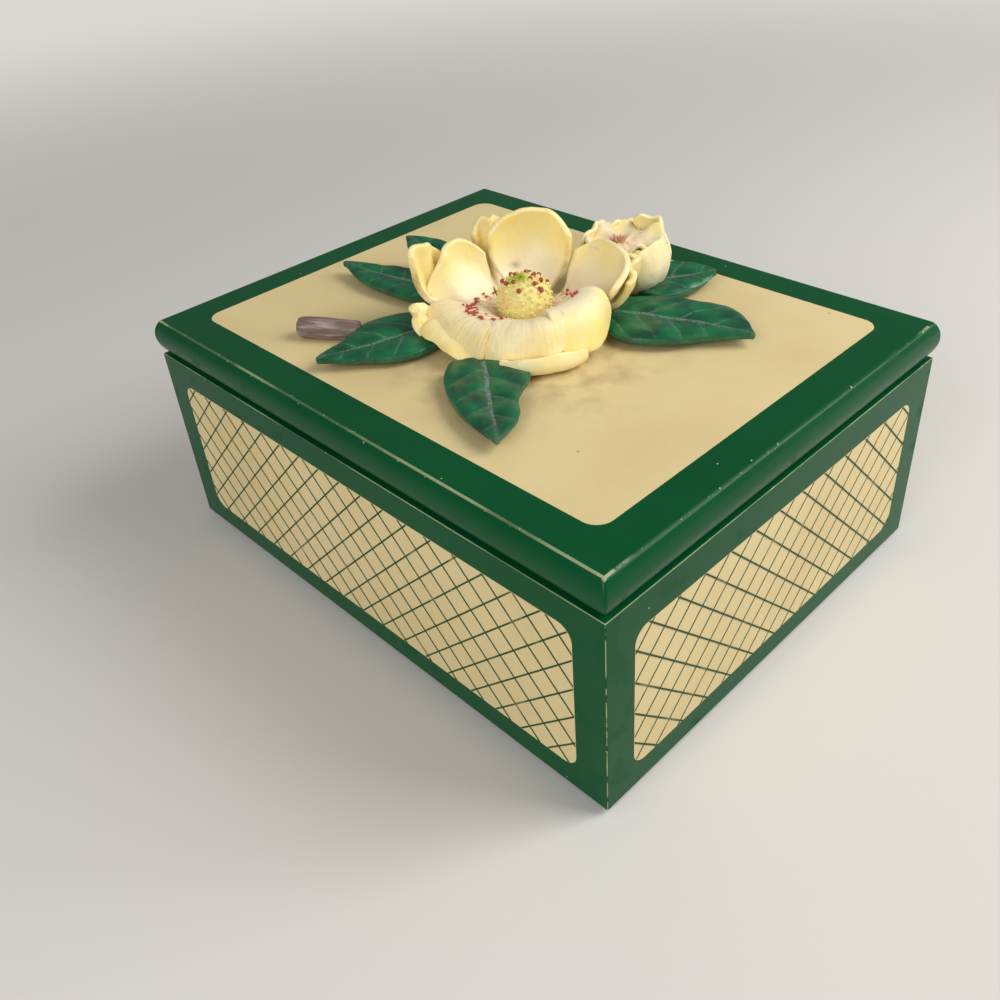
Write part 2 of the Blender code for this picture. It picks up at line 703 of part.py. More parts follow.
def petal_bm(shape, thickness, rows, columns):
    """Return a petal as a cupped shell that thins towards its rim."""
    rings = []
    for row in range(rows + 1):
        along = min(max(row / rows, PETAL_END_SHARE), 1.0 - PETAL_END_SHARE)
        half = thickness / 2.0 * (1.0 - (1.0 - PETAL_RIM_SHARE) * along)
        outside, inside = [], []
        for column in range(columns + 1):
            across = 2.0 * column / columns - 1.0
            point = petal_point(shape, along, across)
            normal = petal_normal(shape, along, across)
            outside.append(point - normal * half)
            inside.append(point + normal * half)
        rings.append(outside + inside[::-1])
    return loft(rings, strip_caps=True)


def make_petals(shares, sizes, axis, materials):
    """Make the petals of one whorl from their shares of the blossom's sizes."""
    place, radius, height, root, bend_share, thickness, ripple_share, rows, columns = sizes
    for name, (bearing, half_span, reach_share, height_share) in shares.items():
        rim = (radius * reach_share, height * height_share)
        bend = (rim[0] * bend_share, root[1])
        shape = ((bearing, half_span), root, bend, rim, radius * ripple_share)
        petal = petal_bm(shape, thickness, rows, columns)
        finish_object(name, petal, materials["ivory_resin"], place, axis)


def make_blossom(axis, materials):
    """Make the large blossom: receptacle with its cone, then two whorls of petals."""
    place = Matrix.Translation((BLOSSOM_RIGHT, -BLOSSOM_FORWARD, FLOWER_FOOT))
    stations = [(RECEPTACLE_RADIUS * r, RECEPTACLE_HEIGHT * h) for r, h in RECEPTACLE_SHARES]
    for radius_share, height_share in CONE_SHARES:
        level = RECEPTACLE_HEIGHT + CONE_HEIGHT * height_share + GLUE_GAP
        stations.append((CONE_RADIUS * radius_share, level))
    cone = turned(stations, TURNED_SIDES)
    finish_object("receptacle_cone", cone, materials["cone_resin"], place, axis)
    root_radius = RECEPTACLE_RADIUS + GLUE_GAP + PETAL_THICKNESS * PETAL_ROOT_ROOM_SHARE
    inner_root = (root_radius, INNER_ROOT_HEIGHT)
    outer_root = (root_radius, OUTER_ROOT_HEIGHT)
    inner = (place, BLOSSOM_RADIUS, BLOSSOM_HEIGHT, inner_root, INNER_BEND_SHARE)
    outer = (place, BLOSSOM_RADIUS, BLOSSOM_HEIGHT, outer_root, OUTER_BEND_SHARE)
    detail = (PETAL_THICKNESS, 0.0, PETAL_ROWS, PETAL_COLUMNS)
    make_petals(INNER_PETAL_SHARES, inner + detail, axis, materials)
    make_petals(OUTER_PETAL_SHARES, outer + detail, axis, materials)


def make_bud(axis, materials):
    """Make the small blossom behind the large one."""
    place = Matrix.Translation((BUD_RIGHT, BUD_BACKWARD, FLOWER_FOOT))
    stations = [(BUD_RECEPTACLE_RADIUS * r, BUD_RECEPTACLE_HEIGHT * h) for r, h in BUD_CORE_SHARES]
    core = turned(stations, TURNED_SIDES)
    finish_object("bud_core", core, materials["cone_resin"], place, axis)
    room = GLUE_GAP + BUD_PETAL_THICKNESS * PETAL_ROOT_ROOM_SHARE
    root = (BUD_RECEPTACLE_RADIUS + room, BUD_ROOT_HEIGHT)
    sizes = (place, BUD_RADIUS, BUD_HEIGHT, root, BUD_BEND_SHARE)
    detail = (BUD_PETAL_THICKNESS, BUD_RIPPLE_SHARE, BUD_PETAL_ROWS, BUD_PETAL_COLUMNS)
    make_petals(BUD_PETAL_SHARES, sizes + detail, axis, materials)


# Leaves and stem


def about_blossom(bearing, distance):
    """Return the point on the cream field at a bearing and distance from the blossom."""
    turn = math.radians(bearing)
    x = BLOSSOM_RIGHT + distance * math.cos(turn)
    y = distance * math.sin(turn) - BLOSSOM_FORWARD
    return Vector((x, y, FLOWER_FOOT))


def leaf_width(along):
    """Return a leaf's width at a share of its length, as a share of its widest."""
    swell = math.sin(math.pi * along**LEAF_FULLNESS_SHARE) ** LEAF_FULLNESS_SHARE
    return LEAF_END_SHARE + (1.0 - LEAF_END_SHARE) * swell


def leaf_bm(length, width, lift):
    """Return a leaf along X: flat below, with two swells beside a sunk midrib."""
    rings = []
    for row in range(LEAF_ROWS + 1):
        along = row / LEAF_ROWS
        half = width / 2.0 * leaf_width(min(along, 1.0 - SLOPE_STEP_SHARE))
        rise = lift * along**2
        below, above = [], []
        for column in range(LEAF_COLUMNS + 1):
            across = 2.0 * column / LEAF_COLUMNS - 1.0
            swell = math.sin(math.pi * abs(across)) * math.sin(math.pi * along)
            top = LEAF_THICKNESS * (LEAF_EDGE_SHARE + (1.0 - LEAF_EDGE_SHARE) * swell)
            below.append((length * along, half * across, rise))
            above.append((length * along, half * across, rise + top))
        rings.append(below + above[::-1])
    return loft(rings, strip_caps=True)


def make_leaves(axis, materials):
    """Make each leaf between its root beside the blossom and its tip."""
    for name, shares in LEAF_SHARES.items():
        root_bearing, root_share, tip_bearing, tip_share, width_share, lift_share = shares
        root = about_blossom(root_bearing, LEAF_LENGTH * root_share)
        tip = about_blossom(tip_bearing, LEAF_LENGTH * tip_share)
        run = tip - root
        turn = Matrix.Rotation(math.atan2(run.y, run.x), 4, "Z")
        leaf = leaf_bm(run.length, LEAF_WIDTH * width_share, LEAF_TIP_LIFT * lift_share)
        place = Matrix.Translation(root) @ turn
        finish_object(name, leaf, materials["leaf_resin"], place, axis)


def make_stem(axis, materials):
    """Make the cut stem that comes out from under a leaf."""
    stations = [(STEM_RADIUS * r, STEM_LENGTH * h) for r, h in STEM_SHARES]
    stem = turned(stations, STEM_SIDES)
    turn = Matrix.Rotation(math.radians(STEM_TURN), 4, "Z")
    lie = Matrix.Rotation(math.pi / 2.0, 4, "Y")
    foot = Matrix.Translation((-STEM_LEFT, -STEM_FORWARD, FLOWER_FOOT + STEM_RADIUS))
    place = foot @ turn @ lie
    finish_object("stem", stem, materials["bark_resin"], place, axis)


def clear_scene():
    """Remove every object that the file opened with."""
    for item in list(bpy.data.objects):
        bpy.data.objects.remove(item, do_unlink=True)


def main():
    """Build the whole box."""
    clear_scene()
    materials = make_materials()
    axis = bpy.data.objects.new("lid_axis", None)
    axis.location = (0.0, HINGE_Y, HINGE_Z)
    bpy.context.scene.collection.objects.link(axis)
    walls = {side: make_wall(side, materials) for side in SIDE_TURNS}
    make_bottom(materials)
    for side in SIDE_TURNS:
        make_wall_lining(side, materials)
    lid = make_lid(axis, materials)
    for side, hinge_x in HINGE_PLACES.items():
        make_leaf(f"hinge_{side}_case_leaf", True, hinge_x, walls["back"], None, materials)
        make_leaf(f"hinge_{side}_lid_leaf", False, hinge_x, lid, axis, materials)
        make_pin(f"hinge_{side}_pin", hinge_x, materials)
    make_blossom(axis, materials)
    make_bud(axis, materials)
    make_leaves(axis, materials)
    make_stem(axis, materials)


main()
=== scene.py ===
"""Looks of a painted trinket box with a moulded magnolia on its hinged lid."""

import math
from contextlib import contextmanager
from typing import NamedTuple

import bmesh
import bpy
import numpy as np
from mathutils import Matrix, Vector, noise


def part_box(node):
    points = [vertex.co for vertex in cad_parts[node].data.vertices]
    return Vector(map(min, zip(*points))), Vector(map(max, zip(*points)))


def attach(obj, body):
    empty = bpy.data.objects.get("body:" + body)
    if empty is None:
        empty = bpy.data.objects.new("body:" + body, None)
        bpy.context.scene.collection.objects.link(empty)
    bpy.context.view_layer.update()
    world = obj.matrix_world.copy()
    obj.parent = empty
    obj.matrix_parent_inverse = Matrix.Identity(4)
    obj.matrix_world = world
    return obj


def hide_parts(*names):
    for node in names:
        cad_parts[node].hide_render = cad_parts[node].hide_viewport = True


bl_info = {
    "name": "Trinket box",
    "version": (1, 0, 0),
    "blender": (4, 5, 0),
    "location": "3D View > Sidebar > Trinket box",
    "description": "Builds the finish of a lacquered trinket box with a moulded magnolia",
    "category": "Object",
}

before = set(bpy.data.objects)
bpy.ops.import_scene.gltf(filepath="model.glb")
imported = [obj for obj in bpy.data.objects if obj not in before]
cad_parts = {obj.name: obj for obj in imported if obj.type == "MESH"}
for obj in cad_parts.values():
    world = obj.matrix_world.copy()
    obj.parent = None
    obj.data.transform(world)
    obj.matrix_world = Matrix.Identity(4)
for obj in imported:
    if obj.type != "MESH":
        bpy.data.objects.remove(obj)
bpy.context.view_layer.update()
MM = 0.001

# Sizes read off the model's parts

SIDES = ("front", "right", "back", "left")
SIDE_TURNS = {"front": 0.0, "right": 90.0, "back": 180.0, "left": 270.0}
CASE_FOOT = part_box("wall_front")[0].z
CASE_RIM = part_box("wall_front")[1].z
CASE_HALF_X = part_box("wall_right")[1].x
CASE_HALF_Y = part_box("wall_back")[1].y
WALL_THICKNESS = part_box("wall_front")[1].y + CASE_HALF_Y
REBATE_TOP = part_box("floor_lining")[0].z
LID_FOOT, LID_TOP = (corner.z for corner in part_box("lid_board"))
LID_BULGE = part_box("lid_board")[1].x - CASE_HALF_X
GLUE_GAP = 0.3 * MM
HINGE_SEAT = 1.03 * MM
PAINT_GAP = 0.01 * MM
REST_GAP = 0.03 * MM
CUT_OVERRUN = 1.0 * MM


def middle_of(node_name):
    """Return the plan centre of a node."""
    low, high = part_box(node_name)
    return Vector(((low.x + high.x) / 2.0, (low.y + high.y) / 2.0, 0.0))


BLOSSOM_CENTRE = middle_of("receptacle_cone")
BUD_CENTRE = middle_of("bud_core")


# Properties


def linear(code):
    """Return the linear RGB of an sRGB hex code."""
    channels = [int(code[at : at + 2], 16) / 255.0 for at in (1, 3, 5)]
    return tuple(c / 12.92 if c <= 0.04045 else ((c + 0.055) / 1.055) ** 2.4 for c in channels)


def colour(name, description, code):
    """Return a colour property with an sRGB default."""
    return bpy.props.FloatVectorProperty(
        name=name, description=description, subtype="COLOR", min=0.0, max=1.0, default=linear(code)
    )


def length(name, description, size_mm):
    """Return a length property with a default in millimetres."""
    return bpy.props.FloatProperty(
        name=name, description=description, unit="LENGTH", precision=5, default=size_mm * MM
    )


def angle(name, description, degrees):
    """Return an angle property with a default in degrees."""
    return bpy.props.FloatProperty(
        name=name, description=description, unit="ROTATION", default=math.radians(degrees)
    )


def number(name, description, default):
    """Return a plain number property."""
    return bpy.props.FloatProperty(name=name, description=description, default=default)


class TrinketCase(bpy.types.PropertyGroup):
    """Sizes and colours of the case and the lid."""

    lacquer: colour("Lacquer", "Green of the case and the lid", "#04532b")
    deep: colour("Deep lacquer", "Green where the coat is thick", "#034625")
    # Also the colour of the pale painted highlight along the case's rim and the lid's front arris.
    undercoat: colour("Undercoat", "Pale coat that shows at worn edges", "#b9bd93")
    cream: colour("Cream", "Cream of the panels and the lid's field", "#dfcb96")
    aged: colour("Aged cream", "Cream where it has darkened", "#cfb77f")
    # Also the colour of the painted shade round the blossom's foot.
    dust_and_shade: colour("Dust", "Brown dust round the blossom", "#7c6238")
    lattice: colour("Lattice", "Green of the thin lattice lines", "#0f4410")
    arris: length("Arris", "Rounding of the case's sharp edges", 0.4)
    lid_arris: length("Lid arris", "Rounding of the lid's upper and lower edges", 1.2)
    arris_inset: length("Arris inset", "How far the lid's flat top stays inside the case", 1.1)
    foot_inset: length("Foot inset", "How far the lid's foot stays inside the case", 1.6)
    corner: length("Panel corner", "Radius of the cream fields' corners", 4.0)
    rising: length("Rising pitch", "Spacing of the rising lattice lines along a side", 8.35)
    falling: length("Falling pitch", "Spacing of the falling lattice lines along a side", 9.25)
    line_width: length("Line width", "Width of a lattice line", 0.42)
    line_margin: length("Line margin", "Bare edge round the lattice", 0.15)


class TrinketBlossom(bpy.types.PropertyGroup):
    """Sizes and colours of the blossoms."""

    radius: length("Radius", "Radius of the large blossom", 28.0)
    height: length("Height", "Height of the large blossom", 26.0)
    thickness: length("Petal thickness", "Thickness of a petal of the large blossom", 1.7)
    bud_radius: length("Small radius", "Radius of the small blossom", 12.0)
    bud_height: length("Small height", "Height of the small blossom", 17.0)
    bud_thickness: length("Small petal thickness", "Thickness of a petal of the small blossom", 1.1)
    ivory: colour("Ivory", "Petals where the glaze is thin", "#f8edc9")
    yellow: colour("Yellow", "Glaze at the petals' rims", "#fde68c")
    ochre: colour("Ochre", "Glaze on the folded petals", "#f0cd8a")
    blush: colour("Blush", "Tan glaze down in the throat", "#e2bd9c")
    # Painted shade: olive-brown at the petals' roots, along their seams and in the small blossom's hollow.
    painted_shade: colour("Grime", "Olive-brown wash left in the folds", "#8a7440")
    cone: colour("Cone", "Seed cone", "#efe38c")
    lime: colour("Lime", "Top of the seed cone", "#a9b833")
    bead: colour("Bead", "Red-brown beads on the cone", "#8a4420")
    seed_size: length("Seed size", "Radius of a seed on the cone", 0.52)
    bead_size: length("Bead size", "Radius of a red-brown bead", 0.62)
    stamen_size: length("Stamen size", "Radius of a stamen thread", 0.30)
    stamen: colour("Stamen", "Stamen threads", "#e3bf9f")
    stamen_tip: colour("Stamen tip", "Stamen tips", "#b0453a")


class TrinketLeaves(bpy.types.PropertyGroup):
    """Sizes and colours of the leaves and the stem."""

    thickness: length("Thickness", "Thickness of a leaf", 2.1)
    vein_pitch: length("Vein pitch", "Spacing of the side veins", 8.6)
    vein_height: length("Vein height", "How far the veins stand up", 0.30)
    quilting: length("Quilting", "How far the leaf swells between its veins", 0.45)
    green: colour("Green", "Leaf green", "#0e6a40")
    deep: colour("Deep green", "Leaf green in the hollows", "#06462c")
    dry_brush: colour("Dry brush", "Grey brushed over the veins", "#87908a")
    bark: colour("Bark", "Stem", "#75605a")
    bark_light: colour("Light bark", "Streaks along the stem", "#ab978d")


class TrinketInside(bpy.types.PropertyGroup):
    """Colours of the lining, the hinges and the bare board."""

    felt: colour("Felt", "Felt of the lining", "#1b4a31")
    brass: colour("Brass", "Brass of the hinges", "#c9a052")
    board: colour("Board", "Bare board of the bottom", "#b08a58")


class TrinketStage(bpy.types.PropertyGroup):
    """Floor, lamps and camera."""

    floor: colour("Floor", "Pale floor", "#d8d5d0")
    floor_half: length("Floor half size", "Half the floor's side", 3000.0)
    camera_x: length("Camera X", "Camera's place along the long side", 170.84)
    camera_y: length("Camera Y", "Camera's place across the box", -165.10)
    camera_z: length("Camera Z", "Camera's height over the floor", 189.21)
    pitch: angle("Pitch", "Camera's turn about X", 54.848)
    roll: angle("Roll", "Camera's turn about Y", 3.698)
    heading: angle("Heading", "Camera's turn about Z", 45.093)
    lens: number("Lens", "Focal length in millimetres on a 36 mm sensor", 36.058)
    shift_x: number("Shift X", "Sideways shift of the picture", -0.0094)
    shift_y: number("Shift Y", "Upwards shift of the picture", -0.0377)
    key_power: number("Key power", "Watts of the large lamp at the back right", 4.3)
    fill_power: number("Fill power", "Watts of the lamp at the front", 3.7)
    rim_power: number("Rim power", "Watts of the low lamp that lights the lid's right edge", 1.3)
    sky: number("Sky", "Strength of the even light all round", 0.30)


# Modelling tools


def deselect():
    """Leave nothing selected."""
    bpy.ops.object.select_all(action="DESELECT")


def added(operator, name, **settings):
    """Add a primitive on its own and return it under its name."""
    deselect()
    operator(**settings)
    piece = bpy.context.object
    piece.name = piece.data.name = name
    return piece


@contextmanager
def editing(piece):
    """Open one piece in edit mode with nothing selected."""
    deselect()
    piece.select_set(True)
    bpy.context.view_layer.objects.active = piece
    bpy.ops.object.mode_set(mode="EDIT")
    bpy.ops.mesh.select_all(action="DESELECT")
    yield
    bpy.ops.object.mode_set(mode="OBJECT")


def pick(piece, kind, test):
    """Select the faces, edges or vertices that pass a test, in edit mode."""
    bpy.ops.mesh.select_mode(type=kind)
    bpy.ops.mesh.select_all(action="DESELECT")
    mesh_bm = bmesh.from_edit_mesh(piece.data)
    for element in {"FACE": mesh_bm.faces, "EDGE": mesh_bm.edges, "VERT": mesh_bm.verts}[kind]:
        if test(element):
            element.select_set(True)
    bmesh.update_edit_mesh(piece.data)


def modified(piece, kind, **settings):
    """Give a piece a modifier with these settings and apply it."""
    deselect()
    piece.select_set(True)
    bpy.context.view_layer.objects.active = piece
    modifier = piece.modifiers.new(kind, kind)
    for name, value in settings.items():
        setattr(modifier, name, value)
    bpy.ops.object.modifier_apply(modifier=kind)
    return piece


def carved(piece, cutter, operation="DIFFERENCE"):
    """Cut a piece with another and take the cutter away."""
    modified(piece, "BOOLEAN", operation=operation, solver="EXACT", object=cutter)
    bpy.data.objects.remove(cutter)
    return piece


def joined(name, pieces):
    """Join pieces into one under a name."""
    deselect()
    for piece in pieces:
        piece.select_set(True)
    bpy.context.view_layer.objects.active = pieces[0]
    bpy.ops.object.join()
    pieces[0].name = pieces[0].data.name = name
    return pieces[0]


def settled(piece):
    """Put a piece's place and turn into its mesh."""
    deselect()
    piece.select_set(True)
    bpy.context.view_layer.objects.active = piece
    bpy.ops.object.transform_apply(location=True, rotation=True, scale=True)
    return piece


def smoothed(piece, limit=35.0):
    """Shade a piece smooth up to an angle in degrees."""
    deselect()
    piece.select_set(True)
    bpy.context.view_layer.objects.active = piece
    bpy.ops.object.shade_smooth_by_angle(angle=math.radians(limit))
    return piece


def block(name, low, high):
    """Add a box between two corners."""
    piece = added(bpy.ops.mesh.primitive_cube_add, name, size=1.0, location=(low + high) / 2.0)
    piece.scale = high - low
    return settled(piece)


def slab(name, low, high, corner, across=2, steps=10):
    """Add a flat slab between two corners, with its four short edges rounded."""
    piece = block(name, low, high)
    with editing(piece):
        pick(piece, "EDGE", lambda edge: abs((edge.verts[0].co - edge.verts[1].co)[across]) > 1e-6)
        bpy.ops.mesh.bevel(offset=corner, segments=steps, affect="EDGES")
    return piece


def finished(piece, material, body, slot, *nodes):
    """Give a piece its finish, its body and the nodes that it stands for."""
    piece.data.materials.clear()
    piece.data.materials.append(material)
    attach(piece, body)
    if nodes:
        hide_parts(*nodes)
    return piece


# Material tools


def node(tree, kind, inputs=None, out=None, **settings):
    """Add a shader node with its settings and inputs, and return its output."""
    made = tree.nodes.new(f"ShaderNode{kind}")
    for name, value in settings.items():
        setattr(made, name, value)
    for key, value in (inputs or {}).items():
        named = made.inputs[key] if isinstance(key, int) else None
        socket = named or next(s for s in made.inputs if s.name == key and s.enabled)
        if isinstance(value, bpy.types.NodeSocket):
            tree.links.new(value, socket)
        elif socket.type == "RGBA":
            socket.default_value = (*value, 1.0)
        else:
            socket.default_value = value
    return made.outputs[out] if out else next(s for s in made.outputs if s.enabled)


def blank_material(name, **values):
    """Return a new material, its tree and its shader with values set on the shader."""
    material = bpy.data.materials.new(name)
    material.use_nodes = True
    tree = material.node_tree
    shader = tree.nodes["Principled BSDF"]
    for socket, value in values.items():
        shader.inputs[socket.replace("_", " ")].default_value = value
    return material, tree, shader


def every(size_mm):
    """Return the texture scale that repeats about once in a size in millimetres."""
    return 1.0 / (size_mm * MM)


def feed(tree, shader, **sockets):
    """Link outputs to the shader's inputs."""
    for socket, output in sockets.items():
        tree.links.new(output, shader.inputs[socket.replace("_", " ")])


def edge_distance(tree, half_x, half_y, low, high):
    """Return a point, its distance to the nearest edge of a box and to the nearest corner in plan."""
    place = node(tree, "TexCoord", out="Object")
    parts = node(tree, "SeparateXYZ", {"Vector": place}, out="X").node.outputs
    away = []
    for part, half in ((parts["X"], half_x), (parts["Y"], half_y)):
        size = node(tree, "Math", {0: part}, operation="ABSOLUTE")
        gap = node(tree, "Math", {0: half, 1: size}, operation="SUBTRACT")
        away.append(node(tree, "Math", {0: gap}, operation="ABSOLUTE"))
    over = node(tree, "Math", {0: parts["Z"], 1: low}, operation="SUBTRACT")
    under = node(tree, "Math", {0: high, 1: parts["Z"]}, operation="SUBTRACT")
    upright = node(tree, "Math", {0: over, 1: under}, operation="MINIMUM")
    upright = node(tree, "Math", {0: upright}, operation="ABSOLUTE")
    nearer = node(tree, "Math", {0: away[0], 1: away[1]}, operation="MINIMUM")
    further = node(tree, "Math", {0: away[0], 1: away[1]}, operation="MAXIMUM")
    other = node(tree, "Math", {0: further, 1: upright}, operation="MINIMUM")
    return place, node(tree, "Math", {0: nearer, 1: other}, operation="MAXIMUM"), further


# Finishes


def lacquer_material(name, look, half, low, high, worn, hold, highlight_axis, highlight_from):
    """Brushed green enamel over a pale undercoat on wood.

    A hard, half-gloss skin. Along one run of edges a thin pale line is a painted highlight,
    partly worn through to the undercoat; the coat is also worn through at the corners and in patches,
    has chipped here and there along the other edges, and fingers have left a few dull patches.
    """
    material, tree, shader = blank_material(name, Roughness=0.3, IOR=1.5, Specular_IOR_Level=0.14)
    place, edge, corner = edge_distance(tree, half[0], half[1], low, high)
    cloud = node(tree, "TexNoise", {"Vector": place, "Scale": every(28.0), "Detail": 3.0})
    grain = node(tree, "TexNoise", {"Vector": place, "Scale": every(3.0), "Detail": 5.0})
    chips = node(tree, "TexNoise", {"Vector": place, "Scale": every(0.9), "Detail": 2.0})
    fine = node(tree, "TexNoise", {"Vector": place, "Scale": every(0.5), "Detail": 2.0})
    coat = node(
        tree, "Mix", {"Factor": cloud, "A": look.deep, "B": look.lacquer}, data_type="RGBA"
    )
    # A thin pale band along the edges: along one run of edges (the case's rim, the lid's front arris) it is a
    # painted highlight, partly worn through to the undercoat; elsewhere it is worn through in patches and at
    # the corners.
    line = node(tree, "MapRange", {"Value": edge, "From Min": worn[0] * MM, "From Max": worn[1] * MM})
    patchy = node(
        tree, "MapRange", {"Value": grain, "From Min": 0.56, "From Max": 0.66, "To Max": hold[0]}
    )
    towards = node(tree, "VectorMath", {0: place, 1: highlight_axis}, out="Value", operation="DOT_PRODUCT")
    highlight_line_and_corners = node(tree, "Math", {0: towards, 1: highlight_from}, operation="GREATER_THAN")
    kept = node(tree, "MapRange", {"Value": cloud, "From Min": 0.40, "From Max": 0.56, "To Min": 0.25})
    kept = node(tree, "Math", {0: kept, 1: hold[1]}, operation="MULTIPLY")
    highlight_line_and_corners = node(tree, "Math", {0: highlight_line_and_corners, 1: kept}, operation="MULTIPLY")
    knocked = node(
        tree, "MapRange", {"Value": corner, "From Min": 9.0 * MM, "From Max": 2.0 * MM, "To Max": 0.75}
    )
    broken = node(tree, "MapRange", {"Value": grain, "From Min": 0.42, "From Max": 0.52})
    knocked = node(tree, "Math", {0: knocked, 1: broken}, operation="MULTIPLY")
    highlight_line_and_corners = node(tree, "Math", {0: highlight_line_and_corners, 1: knocked}, operation="MAXIMUM")
    patchy = node(tree, "Math", {0: patchy, 1: highlight_line_and_corners}, operation="MAXIMUM")
    rubbed_and_highlight = node(tree, "Math", {0: line, 1: patchy}, operation="MULTIPLY")
    near = node(
        tree, "MapRange", {"Value": edge, "From Min": (worn[0] + 0.5) * MM, "From Max": worn[1] * MM}
    )
    chance = node(tree, "Math", {0: near, 1: 0.14}, operation="MULTIPLY")
    chance = node(tree, "Math", {0: chance, 1: chips}, operation="ADD")
    chipped = node(tree, "MapRange", {"Value": chance, "From Min": 0.82, "From Max": 0.85})
    specks = node(tree, "TexVoronoi", {"Vector": place, "Scale": every(9.0)}, out="Distance")
    specks = node(tree, "MapRange", {"Value": specks, "From Min": 0.026, "From Max": 0.016})
    bare_and_highlight = node(tree, "Math", {0: rubbed_and_highlight, 1: chipped}, operation="MAXIMUM")
    bare_and_highlight = node(tree, "Math", {0: bare_and_highlight, 1: specks}, operation="MAXIMUM")
    base = node(tree, "Mix", {"Factor": bare_and_highlight, "A": coat, "B": look.undercoat}, data_type="RGBA")
    dull = node(tree, "TexNoise", {"Vector": place, "Scale": every(11.0), "Detail": 4.0})
    dull = node(tree, "MapRange", {"Value": dull, "From Min": 0.60, "From Max": 0.66})
    gloss = node(tree, "MapRange", {"Value": cloud, "To Min": 0.26, "To Max": 0.34})
    gloss = node(tree, "Mix", {"Factor": dull, "A": gloss, "B": 0.44}, data_type="FLOAT")
    gloss = node(tree, "Math", {0: gloss, 1: bare_and_highlight}, operation="MAXIMUM")
    skin = node(tree, "Math", {0: bare_and_highlight, 1: -0.6}, operation="MULTIPLY")
    skin = node(tree, "Math", {0: skin, 1: fine}, operation="ADD")
    relief = node(tree, "Bump", {"Height": skin, "Strength": 0.12, "Distance": 0.06 * MM})
    feed(tree, shader, Base_Color=base, Roughness=gloss, Normal=relief)
    return material


def cream_material(name, look, dust_and_shade_share=0.0):
    """Cream enamel rolled on thin and a little aged.

    It dries to an even, low sheen. Age shows as soft darker clouds and pin specks,
    and on the lid brown dust and painted shade darken it round the blossom's foot.
    """
    material, tree, shader = blank_material(name, Roughness=0.5, IOR=1.48)
    place = node(tree, "TexCoord", out="Object")
    cloud = node(tree, "TexNoise", {"Vector": place, "Scale": every(36.0), "Detail": 4.0})
    fine = node(tree, "TexNoise", {"Vector": place, "Scale": every(0.6), "Detail": 3.0})
    smear = node(tree, "TexNoise", {"Vector": place, "Scale": every(7.0), "Detail": 6.0})
    aged = node(tree, "MapRange", {"Value": cloud, "From Min": 0.40, "From Max": 0.75})
    aged = node(tree, "Math", {0: aged, 1: 0.55}, operation="MULTIPLY")
    coat = node(tree, "Mix", {"Factor": aged, "A": look.cream, "B": look.aged}, data_type="RGBA")
    grain = node(tree, "MapRange", {"Value": fine, "To Min": 0.97, "To Max": 1.03})
    coat = node(
        tree, "Mix", {"Factor": 1.0, "A": coat, "B": grain}, data_type="RGBA", blend_type="MULTIPLY"
    )
    specks = node(tree, "TexVoronoi", {"Vector": place, "Scale": every(13.0)}, out="Distance")
    specks = node(tree, "MapRange", {"Value": specks, "From Min": 0.035, "From Max": 0.018})
    specks = node(tree, "Math", {0: specks, 1: 0.55}, operation="MULTIPLY")
    # Round the blossom's foot the cream is darkened brown by dust and by painted shade.
    if dust_and_shade_share:
        centre = BLOSSOM_CENTRE + Vector((5.0, -4.0, 0.0)) * MM
        flat = node(tree, "VectorMath", {0: place, 1: (1.0, 1.0, 0.0)}, operation="MULTIPLY")
        reach = node(tree, "VectorMath", {0: flat, 1: centre}, out="Value", operation="DISTANCE")
        near = node(
            tree, "MapRange", {"Value": reach, "From Min": 44.0 * MM, "From Max": 20.0 * MM}
        )
        loose = node(tree, "MapRange", {"Value": smear, "From Min": 0.44, "From Max": 0.72})
        dust_and_shade = node(tree, "Math", {0: near, 1: loose}, operation="MULTIPLY")
        dust_and_shade = node(tree, "Math", {0: dust_and_shade, 1: dust_and_shade_share}, operation="MULTIPLY")
        specks = node(tree, "Math", {0: specks, 1: dust_and_shade}, operation="MAXIMUM")
    base = node(tree, "Mix", {"Factor": specks, "A": coat, "B": look.dust_and_shade}, data_type="RGBA")
    gloss = node(tree, "MapRange", {"Value": smear, "To Min": 0.42, "To Max": 0.55})
    relief = node(tree, "Bump", {"Height": fine, "Strength": 0.1, "Distance": 0.05 * MM})
    feed(tree, shader, Base_Color=base, Roughness=gloss, Normal=relief)
    return material


def ink_material(look):
    """Dark green screen ink, laid in thin matt lines that thin out in places."""
    material, tree, shader = blank_material("screen_ink", Roughness=0.55)
    place = node(tree, "TexCoord", out="Object")
    thin = node(tree, "TexNoise", {"Vector": place, "Scale": every(9.0), "Detail": 3.0})
    thin = node(tree, "MapRange", {"Value": thin, "From Min": 0.58, "From Max": 1.0})
    base = node(tree, "Mix", {"Factor": thin, "A": look.lattice, "B": look.cream}, data_type="RGBA")
    feed(tree, shader, Base_Color=base)
    return material


